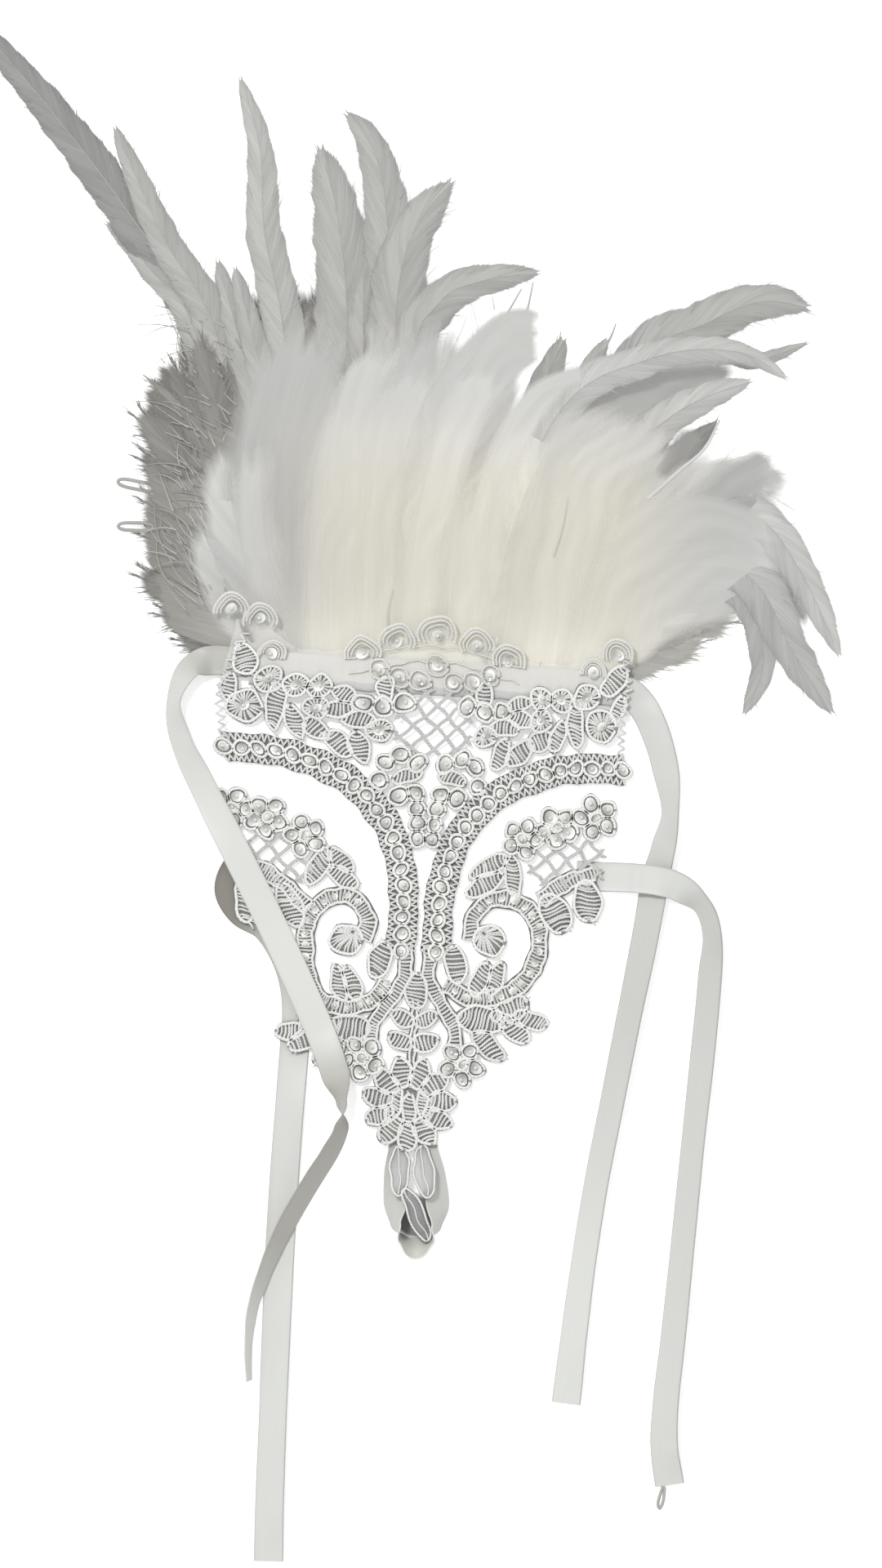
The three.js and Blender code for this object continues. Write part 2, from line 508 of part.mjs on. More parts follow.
function lacePanel() {
  const solids = [];
  for (const row of ROUNDELS) {
    for (const side of row.x === 0 ? [1] : sidesOf(row)) {
      solids.push(roundel(side * row.x, row.y, row.r));
    }
  }
  for (const row of FLOWERS) {
    for (const side of sidesOf(row)) {
      for (let i = 0; i < row.petals; i += 1) {
        const angle = THREE.MathUtils.degToRad(row.phase + (i * 360) / row.petals);
        const x = row.x + row.ring * Math.cos(angle);
        solids.push(roundel(side * x, row.y + row.ring * Math.sin(angle), row.petal));
      }
      const heart = 2 * (row.ring - FLOWER_HEART_INSET);
      solids.push(leaf(side * row.x, row.y, heart, heart, 0));
    }
  }
  for (let i = 0; i < TIP_FLOWER.petals; i += 1) {
    const angle = THREE.MathUtils.degToRad(TIP_FLOWER.phase + (i * 360) / TIP_FLOWER.petals);
    const x = TIP_FLOWER.ring * Math.cos(angle);
    solids.push(roundel(x, TIP_FLOWER.y + TIP_FLOWER.ring * Math.sin(angle), TIP_FLOWER.petal));
  }
  solids.push(leaf(0, TIP_FLOWER.y, 2 * TIP_FLOWER.heart, 2 * TIP_FLOWER.heart, 0));
  for (const row of LEAVES) {
    for (const side of sidesOf(row)) {
      solids.push(leaf(side * row.x, row.y, row.length, row.width, side > 0 ? row.turn : 180 - row.turn));
    }
  }
  for (const row of MIDDLE_LEAVES) {
    solids.push(leaf(row.x, row.y, row.length, row.width, row.turn));
  }
  for (const side of [1, -1]) {
    const bandLine = BAND_LINE.map(([x, y]) => [side * x, y]);
    const edge = (BAND.width - BAND.border) / 2;
    solids.push(strip(bandLine, BAND.width, MOTIF_HEIGHT, BAND.steps));
    solids.push(strip(bandLine, BAND.border, BORDER_HEIGHT, BAND.steps, edge));
    solids.push(strip(bandLine, BAND.border, BORDER_HEIGHT, BAND.steps, -edge));
  }
  for (const row of STRIPS) {
    for (const side of sidesOf(row)) {
      solids.push(strip(row.line.map(([x, y]) => [side * x, y]), row.width, MOTIF_HEIGHT, row.steps));
    }
  }
  solids.push(strip([[0, STEM.top], [0, STEM.bottom]], STEM.width, MOTIF_HEIGHT, 1));
  for (const net of NETS) {
    solids.push(...netBars(net, net.side));
  }
  const geometry = toGeometry(joined(solids));
  const position = geometry.attributes.position;
  for (let i = 0; i < position.count; i += 1) {
    const y = position.getY(i);
    position.setX(i, lacePlace(position.getX(i), y));
    position.setZ(i, position.getZ(i) + laceFloor(y));
  }
  return toGeometry(tidied(toSolid(geometry), LACE_TOLERANCE));
}

// Feathers

// The shaft's plan is a smooth line from the heading to the tip
function shaftPlan(row) {
  return new THREE.SplineCurve(row.line.map(([x, y]) => new THREE.Vector2(x, y)));
}

function bladeHalfWidth(row, s) {
  const fromRoot = THREE.MathUtils.lerp(VANE.start, 1, smooth(s / VANE.full));
  const bow = VANE.bow + VANE.round_bow * row.round;
  const taper = VANE.taper - VANE.round_taper * row.round;
  return Math.max(VANE.least, (row.width / 2) * fromRoot * (1 - s ** bow) ** taper);
}

function shaftHeight(row, rise, rootHeight, distance, length) {
  const up = row.crown * smooth((distance - rise.start) / (rise.share * length));
  const settle = (row.end - row.crown) * smooth((distance / length - CROWN_SHARE) / (1 - CROWN_SHARE));
  return Math.max(rootHeight + up + settle, ROOT_THICKNESS / 2);
}

// A blade has four corners to a section: two thin edges, and the shaft's upper and lower line between them
function blade(row, rise, rootHeight) {
  const plan = shaftPlan(row);
  const length = plan.getLength();
  const sections = BLADE_STATIONS.map((s) => {
    const point = plan.getPointAt(s);
    const along = plan.getTangentAt(s);
    const across = new THREE.Vector3(-along.y, along.x, 0);
    const distance = s * length;
    const half = bladeHalfWidth(row, s);
    const grown = smooth((distance - rise.start) / SHAFT_GROWTH);
    const thickness = THREE.MathUtils.lerp(ROOT_THICKNESS, SHAFT_THICKNESS, grown);
    const shaft = (thickness / 2) * THREE.MathUtils.lerp(1, SHAFT_TIP_SHARE, s);
    const height = shaftHeight(row, rise, rootHeight, distance, length);
    const drop = Math.min(BLADE_CAMBER * half * grown, height);
    const at = (offset, z) => new THREE.Vector3(point.x, point.y, height + z).addScaledVector(across, offset);
    return [at(half, -drop), at(0, -Math.min(shaft, height)), at(-half, -drop), at(0, shaft)];
  });
  return toSolid(loft(sections));
}

function featherRow(plumes, heading, rise) {
  const rootHeight = heading.floor + HEADING_THICKNESS / 2;
  const stagger = (i) => ROOT_STAGGER * (((i * 2) % 5) - 2);
  const blades = plumes.map((row, i) => blade(row, rise, rootHeight + stagger(i)));
  const row = tidied(joined(blades), FEATHER_TOLERANCE).add(toSolid(slab(heading, HEADING_THICKNESS)));
  return toGeometry(withoutPockets(tidied(row, HEADING_TOLERANCE)));
}

// Ribbons

// A flat section carried along a smooth route; each section stands on what is under it, whatever its roll
function ribbon(rows, steps) {
  const places = rows.map((row) => new THREE.Vector3(row.x, row.y, 0));
  const route = new THREE.CatmullRomCurve3(places, false, "centripetal");
  const column = (name, t) => {
    const place = t * (rows.length - 1);
    const i = Math.min(Math.floor(place), rows.length - 2);
    return THREE.MathUtils.lerp(rows[i][name], rows[i + 1][name], smooth(place - i));
  };
  const sections = [];
  for (let i = 0; i <= steps; i += 1) {
    const t = route.getUtoTmapping(i / steps);
    const point = route.getPoint(t);
    const along = route.getTangent(t);
    const flat = new THREE.Vector3().crossVectors(UP, along).normalize();
    const roll = THREE.MathUtils.degToRad(column("roll", t));
    const halfWidth = (RIBBON_WIDTH / 2) * (rows[0].share ? column("share", t) : 1);
    const halfThickness = RIBBON_THICKNESS / 2;
    const across = flat.clone().multiplyScalar(Math.cos(roll)).addScaledVector(UP, Math.sin(roll));
    const face = flat.clone().multiplyScalar(-Math.sin(roll)).addScaledVector(UP, Math.cos(roll));
    const lift = halfWidth * Math.abs(Math.sin(roll)) + halfThickness * Math.abs(Math.cos(roll));
    point.z = column("under", t) + lift;
    across.multiplyScalar(halfWidth);
    face.multiplyScalar(halfThickness);
    const corner = (w, f) => point.clone().addScaledVector(across, w).addScaledVector(face, f);
    sections.push([corner(1, 1), corner(1, -1), corner(-1, -1), corner(-1, 1)]);
  }
  return loft(sections);
}

function piece(name, geometry, finish) {
  const mesh = new THREE.Mesh(geometry, new THREE.MeshStandardMaterial({ ...finish, metalness: 0 }));
  mesh.name = name;
  return mesh;
}

const cuff = new THREE.Group();
cuff.add(piece("lace_panel", lacePanel(), FINISHES.lace));
cuff.add(piece("binding_tape", slab(TAPE, TAPE_THICKNESS), FINISHES.tape));
const backRow = featherRow(BACK_PLUMES, BACK_HEADING, BACK_RISE);
const frontRow = featherRow(FRONT_PLUMES, FRONT_HEADING, FRONT_RISE);
cuff.add(piece("feather_row_back", backRow, FINISHES.plume));
cuff.add(piece("feather_row_front", frontRow, FINISHES.feather));
cuff.add(piece("wrist_ribbon_left_upper", ribbon(LEFT_UPPER_RIBBON, RIBBON_STEPS + 6), FINISHES.satin));
cuff.add(piece("wrist_ribbon_left_lower", ribbon(LEFT_LOWER_RIBBON, RIBBON_STEPS), FINISHES.satin));
cuff.add(piece("wrist_ribbon_right_upper", ribbon(RIGHT_UPPER_RIBBON, RIBBON_STEPS), FINISHES.satin));
cuff.add(piece("wrist_ribbon_right_lower", ribbon(RIGHT_LOWER_RIBBON, RIBBON_STEPS), FINISHES.satin));
cuff.add(piece("finger_loop", ribbon(FINGER_LOOP, LOOP_STEPS), FINISHES.satin));

export default cuff;
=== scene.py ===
"""Feather wrist cuff, lying open on a pale table.

It has corded lace, two rows of feathers, satin ties and a finger loop. Lengths are in millimetres up to the
moment a mesh is made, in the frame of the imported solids.
"""

import math

import bpy
import numpy as np
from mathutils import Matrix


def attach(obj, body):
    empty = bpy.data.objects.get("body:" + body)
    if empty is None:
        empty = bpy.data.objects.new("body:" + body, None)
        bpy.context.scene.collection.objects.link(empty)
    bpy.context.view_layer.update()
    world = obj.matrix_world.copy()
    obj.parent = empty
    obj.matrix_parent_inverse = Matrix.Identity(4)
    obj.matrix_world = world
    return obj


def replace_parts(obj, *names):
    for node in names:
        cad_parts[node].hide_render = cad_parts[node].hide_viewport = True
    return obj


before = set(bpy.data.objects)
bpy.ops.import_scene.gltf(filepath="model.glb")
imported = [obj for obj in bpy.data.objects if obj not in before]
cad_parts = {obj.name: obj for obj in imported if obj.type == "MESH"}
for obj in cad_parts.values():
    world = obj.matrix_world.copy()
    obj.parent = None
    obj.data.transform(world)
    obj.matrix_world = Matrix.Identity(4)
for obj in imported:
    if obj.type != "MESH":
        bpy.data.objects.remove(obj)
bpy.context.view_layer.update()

MM = 0.001
UP = np.array([0.0, 0.0, 1.0])
SEED = 41

# Heights and sizes of the layers, as in the solids
LACE_FLOOR = 1.6
LACE_OVER_TAPE = 3.9
TAPE = {"left": -63.0, "right": 62.0, "bottom": -7.0, "top": 5.0, "floor": 2.6, "thickness": 1.0}
BACK_ROOT_HEIGHT = 0.5
FRONT_ROOT_HEIGHT = 1.8
RIBBON_WIDTH = 10.0
RIBBON_THICKNESS = 1.0

# Lace as it lies: drawn to the left near the wrist edge, climbing over the tape and the loop, and curled up
# at its crown
LACE_PULL = {"most": 2.0, "at": -14.0, "spread": 18.0, "left": 0.12, "right": -0.06}
LACE_CLIMBS = [(-28.0, -12.0, LACE_OVER_TAPE - LACE_FLOOR), (-156.0, -180.0, 6.4), (-178.0, -192.0, -1.4)]
LACE_CURL = {"from": 6.0, "reach": 20.0, "rise": 8.0, "power": 1.5}
CORD_RADIUS = 0.56
STITCH_RADIUS = 0.46
STITCH_PITCH = 1.2
GROUND_HEIGHT = 0.35
NET_MARGIN = 0.5

# Motifs past the y of SHEER_FROM are sheer, and roundels below FAN_BELOW are fans. Roundels of ROSE_FROM and
# more are roses, and sheer ones above CROWN_FROM have arcs. Strips under NARROW are open zigzags, and sheer
# braids under SHEER_BRAID aren't drawn.
SHEER_FROM = -3.0
FAN_BELOW = -80
ROSE_FROM = 3.75
CROWN_FROM = 4
NARROW = 3.2
SHEER_BRAID = 5.0
LEAF, RING, ROSE, FAN, SHEER = range(5)

# The hand's unevenness: how far, and waves as the turn for each millimetre of x and of y, and a start
HAND = 0.22
HAND_WAVES = {
    "across": ((0.21, 0.83, 0.0), (0.47, -0.38, 1.0)),
    "along": ((0.79, 0.3, 0.0), (-0.52, 0.41, 2.0)),
}

# Level of each kind of motif above the net, and height of what is sewn on it
LEVEL = {"roundel": 0.3, "petal": 0.5, "heart": 0.8, "leaf": 0.0, "middle": 0.3, "band": 0.5, "border": 0.35}
LIFT = {
    "outline": 0.45, "edge": 0.42, "arc": 0.4, "cross": 0.2, "spoke": 0.18, "strip": 0.15, "sequin": 0.3,
    "bead": 0.9, "scroll_bead": 1.0, "leaf_cord": 0.2, "leaf_rib": 0.3,
}

# Cords, zigzags, sequins and beads: radius in millimetres, except that a ring's sequin is a share of the ring
CORD_SIZE = {
    "sheer": 0.42, "sheer_edge": 0.3, "edge": 0.5, "stem": 0.45, "net": 0.4, "leaf": 0.36, "rib": 0.26,
}
BORDER_ZIGZAG = {"pitch": 0.95, "slant": 0.55, "radius": 0.38, "level": LEVEL["border"]}
STRIP_ZIGZAG = {"pitch": 1.5, "slant": 0.75, "radius": 0.42, "level": LEVEL["border"]}
CROWN_ARCS = ((0.98, 0.6), (0.78, 0.44), (0.56, 0.36))
SEQUIN_SIZE = {"ring": 0.68, "rose": 1.7, "sheer": 1.9, "scroll": 1.3}
BEAD_SIZE = {"motif": 0.7, "scroll": 0.55}
SCROLL_SEQUINS = {"share": 0.84, "pitch": 4.2, "level": 0.39}
NET_BAR = {"height": 0.5, "gap": 0.38, "light": 0.72}
FAN_HUB = {"inner": 0.12, "hub": (-0.5, 0.55)}

# An outline cord lies at this share of its motif, and wavers by a share of it in so many lobes
OUTLINE_SHARE = 0.97
OUTLINE_WAVES = ((0.03, 2), (0.025, 3), (0.015, 5))

# Tulle: its ends, and its top line as a base with a swell at the crown and a rise towards the corners
TULLE_EDGE = {
    "ends": (-68, 64), "bottom": -4, "base": 6, "crown": (10, 17), "corner": (9, 44, 18), "height": 0.12,
}

# Lace motifs as on the right half; side 1 or -1 stands on that side only, 0 on both
# x, y, radius, side
ROUNDELS = [
    (0, 13.5, 6.6, 1), (13.5, 10.6, 6, 0), (24.6, 6, 5.8, 0), (54, 4, 4.4, 0), (62, 10.4, 5.2, 1),
    (60, 15.4, 5.6, -1), (70, 18.2, 5.8, -1), (0, 3.3, 3.6, 1), (5.6, -2, 3.4, 0), (12.4, -1.6, 3.4, 0),
    (18.6, 1, 3.4, 0), (10.4, -10, 3.4, 0), (16.6, -11.8, 3.2, 0), (23, -11, 3.2, 0), (17.6, -19.8, 3.9, 0),
    (36.8, -6, 3.8, 0), (44.2, -6.2, 4, 0), (37.2, -13.4, 3.9, 0), (59, -14, 5.6, 0), (53, -4.6, 4.6, 0),
    (4.5, -30, 3.1, 0), (10.5, -27.8, 3.1, 0), (15, -30.4, 3, 0), (16.8, -37, 3, 0), (4.3, -40.5, 3, 0),
    (10, -41.5, 3.4, 0), (3.2, -45.6, 2.9, 0), (2.9, -50.6, 2.8, 0), (2.6, -55.8, 2.8, 0),
    (24, -89, 5.4, 1), (24.9, -91.4, 5.4, -1),
]

# x, y, ring radius, petals, petal radius, phase, side
FLOWERS = [
    (33.2, -53.8, 4.6, 5, 2.8, 70, 1), (44.6, -49.3, 4.3, 5, 3, 55, 1), (57.6, -45.2, 4.9, 5, 3, 40, 1),
    (40.7, -57, 4.6, 5, 2.8, 70, -1), (54, -51.5, 4.5, 5, 3.1, 55, -1), (66, -49, 4.6, 5, 2.8, 40, -1),
    (17, -131.4, 5, 5, 2.9, 60, 0),
]
FLOWER_HEART = 1.9
TIP_FLOWER = {
    "y": -146.0, "ring": 12.0, "reach": 0.9, "petals": 11, "petal": (5.2, 3.4), "heart": 9.4, "phase": 270.0,
}

# x, y, length, width, turn, side
LEAVES = [
    (16.6, -5.6, 9, 5.6, 90, 0), (29, -8.2, 8.6, 5, 20, 0), (30.4, -13.4, 9.6, 5.4, -12, 0),
    (24, -16.6, 11, 5.6, 0, 0), (37.2, -20.4, 9, 6.4, 30, 0), (43.6, -18.4, 12, 5.6, 75, 0),
    (49.6, -13.4, 17, 6, 95, 0), (62, 1.5, 12, 7.4, 60, 0), (64.5, -8, 10, 5, 80, 0),
    (23.6, -25.8, 11.5, 6.4, 75, 0), (30.2, -25, 11.5, 6.4, 45, 0), (7.6, -34.6, 10, 5, -15, 0),
    (22.2, -63.8, 15, 6, 32, 1), (21.2, -70, 14, 6, 36, 1), (30.6, -66.6, 15, 5.6, 100, 1),
    (28.2, -64.6, 11, 6, 42, -1), (26.7, -70.6, 11.5, 6, 25, -1), (35.6, -67, 14, 7, 118, -1),
    (13, -97.8, 13, 7.4, 105, 0), (21.6, -102.4, 13, 5.4, 66, 1), (26.8, -102, 13, 5.4, 76, 1),
    (21.7, -106.2, 13, 5.4, 66, -1), (26.4, -106.4, 13, 5.4, 76, -1), (45.8, -78.4, 14, 10.4, -58, 1),
    (56.4, -73.6, 15, 9.4, -82, 1), (44.6, -81, 16, 8.6, 62, -1), (59.4, -78.4, 19, 8, 84, -1),
    (22.8, -116, 18, 9, -4, 1), (32.4, -112.2, 14, 8, 28, 1), (34, -118.6, 12.5, 7, -42, 1),
    (39.4, -115.2, 12, 6.4, -14, 1), (25.6, -124.6, 14, 7, -42, 1), (23.6, -121.6, 18, 9, -4, -1),
    (33, -120, 14, 8, 28, -1), (36.6, -126, 12, 6.6, -35, -1), (42, -123.6, 10, 6, -10, -1),
    (28.4, -129.8, 13, 6.6, -42, -1), (4, -117, 8.6, 5.4, 24, 0), (4.3, -124.8, 9, 6.2, 20, 0),
    (5, -146.4, 12, 5, 100, 0),
]
MIDDLE_LEAVES = [(0, -107.4, 12, 8, 90), (0, -148, 11, 4.4, 90)]
# x, y, length, width, turn, lightness; the leaf over the loop's hole is darker, as painted shade
SHEER_LEAVES = [(-2, -168.8, 17, 6.4, 92, 1), (6.4, -168.6, 18, 6.8, 100, 1), (4.6, -183, 20, 5.6, -64, 0.62)]

BAND_LINE = [
    (67, -28.4), (59, -28.4), (50, -28.9), (41, -31), (31.4, -34.8), (23, -40.2), (16.6, -47), (11.6, -54.4),
    (8.6, -62), (6.8, -70), (6, -78), (6, -86), (6, -94),
]
BAND = {"width": 10.6, "border": 3.0, "net": 9.0, "pitch": 5.5, "roundel": (2.75, 2.5)}

# The curled scroll on each side
SCROLLS = {
    1: [
        (9.6, -104.6), (18, -108.8), (26.6, -108.3), (34.6, -104), (39.6, -96.5), (41, -88), (38.6, -80),
        (33, -75.5), (26.2, -74.4), (20.8, -77.3), (17.6, -82.5), (18, -88.8),
    ],
    -1: [
        (9.6, -105.5), (14.2, -111), (20, -114), (26.6, -114.4), (33, -111.6), (36.7, -104.8), (38.5, -94.7),
        (38, -86.5), (34.5, -80), (27.7, -76.4), (21.5, -78.5), (17.6, -84.7), (19, -91),
    ],
}
SCROLL_WIDTH = 5.6

# width, line and side of each plain strip
STRIPS = [
    (5.4, [(40.6, -74.4), (45.4, -70), (51, -66.6), (58, -64.4)], 1),
    (5.4, [(38, -82), (44.5, -76), (51.5, -71), (59, -67.6)], -1),
    (4.6, [(4.2, -92), (4.2, -103), (9.2, -112), (13.6, -119), (14.4, -126)], 0),
    (3.4, [(27, 3.6), (36, 2.6), (46, 4.4), (55, 8), (62, 11)], 0),
    (3.0, [(30, -2), (40, -1.6), (52, -1)], 0),
    (6.0, [(-1, 7.4), (10, 6.6), (20, 3.4), (29, 1.6)], 0),
    (3.0, [(64, 10), (66.6, 0), (66.4, -14), (66, -28)], 0),
]
STEM = {"width": 2.2, "top": -110.0, "bottom": -140.0}

# x, y, half width, half height, bar spacing, side
NETS = [(0, -17.6, 12.5, 12.5, 5.2, 1), (48.6, -60.4, 12.5, 8.6, 5.2, 1), (49.4, -64.4, 12.5, 8.6, 5.2, -1)]

# Feathers: colours of the barbs, the cool white darker and the cream lighter as painted shade and light,
# camber of a blade, and over how far a shaft grows up from its root
COOL_SHADED_BARB = (0.57, 0.567, 0.551)
CREAM_LIT_BARB = (0.74, 0.72, 0.63)
BLADE_CAMBER = 0.14
SHAFT_GROWTH = 20.0
# From this row on the back plumes are low side feathers
LOW_FROM = 16

# Outline of a vane, spacing of its barbs, and the width from which a front plume is broad and soft
VANE = {
    "start": 0.2, "full": 0.36, "bow": 3.6, "round_bow": 5.0, "taper": 0.62, "round_taper": 0.2, "least": 0.7,
    "pitch": 1.8, "beyond": 6, "broad": 18,
}

# Where a row rises from its root, over what share of its length, and how far the broad ones sink
BACK_RISE = {"start": 24.0, "share": 0.75}
FRONT_RISE = {"start": 12.0, "share": 0.6}
FRONT_SINK = 0.84

# Plumes: line from root to tip, width, height of the crown and of the end, and roundness of the tip
PLUME_COLUMNS = ("line", "width", "crown", "end", "round")
BACK_PLUMES = [
    ([(-57, 0), (-84, 108), (-112, 149), (-142, 184), (-172, 215)], 17.5, 12, 20, 0.2),
    ([(-51, 0), (-79, 106), (-101, 143), (-119.5, 179.5)], 14, 9, 15, 0.3),
    ([(-57, 0), (-86, 106), (-104, 131), (-121, 147)], 13, 7, 9, 0.1),
    ([(-47, 0), (-64, 80), (-82, 136.5)], 12, 6, 8, 0.5),
    ([(-44, 0), (-61, 84), (-76, 134.5)], 11, 7, 9, 0.5),
    ([(-46, 0), (-57, 106), (-66.5, 146), (-69.5, 174), (-78, 198.5)], 16, 10, 18, 0.1),
    ([(-28, 0), (-36, 110), (-41.5, 150), (-49.5, 177)], 24, 9, 14, 0.5),
    ([(-22, 0), (-30, 100), (-33, 146)], 14, 8, 10, 0.5),
    ([(-14, 0), (-21, 110), (-26.5, 160), (-33.5, 180), (-42, 188.5)], 20, 11, 15, 0.4),
    ([(-14, 0), (-20, 100), (-18, 144), (-3.6, 168)], 22, 12, 14, 0.5),
    ([(-4, 0), (-14, 100), (-6, 126), (9, 134.5), (28, 138.3)], 18, 14, 12, 0.3),
    ([(16, 0), (26, 80), (37, 117)], 12, 8, 9, 1),
    ([(20, 0), (38, 84), (52, 118)], 11, 8, 8, 0.6),
    ([(22, 0), (58, 102), (86, 125), (104, 133), (120, 131.5)], 19, 14, 12, 0.7),
    ([(34, 0), (80, 104), (104, 113), (120.5, 120.5)], 10.5, 10, 8, 0.1),
    ([(40, 0), (66, 62), (91, 92)], 14, 7, 9, 0.2),
    ([(-56, 0), (-74, 70), (-87.5, 110)], 15, 6, 8, 0.4),
    ([(-57, 0), (-78, 68), (-97.5, 102)], 13, 4, 5, 0.4),
    ([(-58, 0), (-84, 74), (-105.5, 96)], 6, 4, 5, 0),
    ([(-60, 0), (-84, 58), (-107, 84)], 17, 5, 7, 0.9),
    ([(-60, 0), (-86, 54), (-106, 70)], 15, 3, 3, 0.5),
    ([(-61, 0), (-86, 42), (-104, 56)], 16, 3, 3, 0.6),
    ([(-61, 0), (-84, 32), (-103, 44)], 16, 3, 2, 0.5),
    ([(-61, 0), (-84, 20), (-104, 30)], 17, 2, 1, 0.8),
    ([(-61, 0), (-79, 11), (-97, 17)], 14, 1, 0.5, 0.5),
    ([(-61, 0), (-75, 4), (-90, 8.5)], 11, 1, 0.5, 0.5),
    ([(58, 0), (70, 9), (92, 19)], 15, 2, 0.5, 0.5),
    ([(54, 0), (76, 20), (102, 26)], 17, 4, 0.5, 0.5),
]
FRONT_PLUMES = [
    ([(-58, 0), (-72.5, 26), (-84.5, 50)], 22, 12, 9, 0.7),
    ([(-56, 0), (-62, 30), (-64, 68)], 24, 16, 14, 0.8),
    ([(-54, 0), (-68, 40), (-78, 76)], 25, 22, 20, 0.7),
    ([(-48, 0), (-56, 50), (-64, 98)], 26, 30, 28, 0.7),
    ([(-38, 0), (-44, 54), (-46, 108)], 28, 36, 32, 0.8),
    ([(-24, 0), (-28, 58), (-25, 113)], 30, 40, 34, 0.8),
    ([(-12, 0), (-10, 58), (0, 119)], 30, 42, 34, 0.8),
    ([(-2, 0), (4, 55), (11, 95), (15.5, 126.5)], 29, 42, 32, 1),
    ([(8, 0), (34, 86), (66, 110), (95, 114.5), (113.5, 106)], 14, 42, 26, 0.1),
    ([(14, 0), (24, 54), (37, 84), (50, 101)], 28, 41, 33, 0.9),
    ([(26, 0), (40, 50), (56, 78), (74, 96)], 26, 38, 28, 0.8),
    ([(34, 0), (52, 64), (75, 92), (101, 105.5)], 15, 34, 24, 0.4),
    ([(46, 0), (57, 34), (70, 51), (94, 58)], 26, 30, 22, 0.9),
    ([(48, 0), (74, 56), (97, 70), (118.5, 66)], 27, 28, 16, 0.9),
    ([(52, 0), (80, 52), (104, 60), (121, 43), (137, 14)], 15, 20, 8, 0.2),
    ([(55, 0), (82, 44), (106, 38), (120, 16), (135.7, -5.3)], 17, 17, 5, 0.3),
    ([(57, 0), (80, 36), (102, 34), (111, 12), (105.4, -7.5)], 13, 14, 4, 0.2),
    ([(57, 0), (74, 24), (100, 38)], 22, 15, 8, 0.7),
]

# Lightness of plumes, by their place in the tables, and of all the others, which paints their light and shade
BACK_LIGHT = {0: 0.45, 5: 0.72}
FRONT_LIGHT = {14: 0.84, 15: 0.72, 16: 0.7}
OTHER_LIGHT = {"back": 0.65, "front": 0.8, "broad": 0.94, "broad_left": 0.88, "low_right": 0.62}
# Range for the low side feathers, dark as painted shade, and the x of the tip that makes a broad plume a left
# one
LOW_LIGHT = (0.28, 0.4)
BROAD_LEFT = -60

# How each kind of plume is drawn: share of cream, fringe, waviness, stray barbs, and radius of the shaft
LOW_STYLE = {"warm": 0.4, "fringe": 5.0, "wave": 0.2, "fluff": 1.0, "shaft": 0}
BACK_STYLE = {"warm": 0.05, "shaft": 0.35}
BROAD_STYLE = {"fringe": 10.0, "fluff": 0.1, "shaft": 0}
FRONT_STYLE = {"fluff": 0.15, "shaft": 0.2}

# Cream in the front row, drawn lighter as painted light: middle of it across, half width, top, and over how
# much it fades
CREAM_LIT = {"middle": 14, "half_width": 84, "top": 98, "fade": 44}
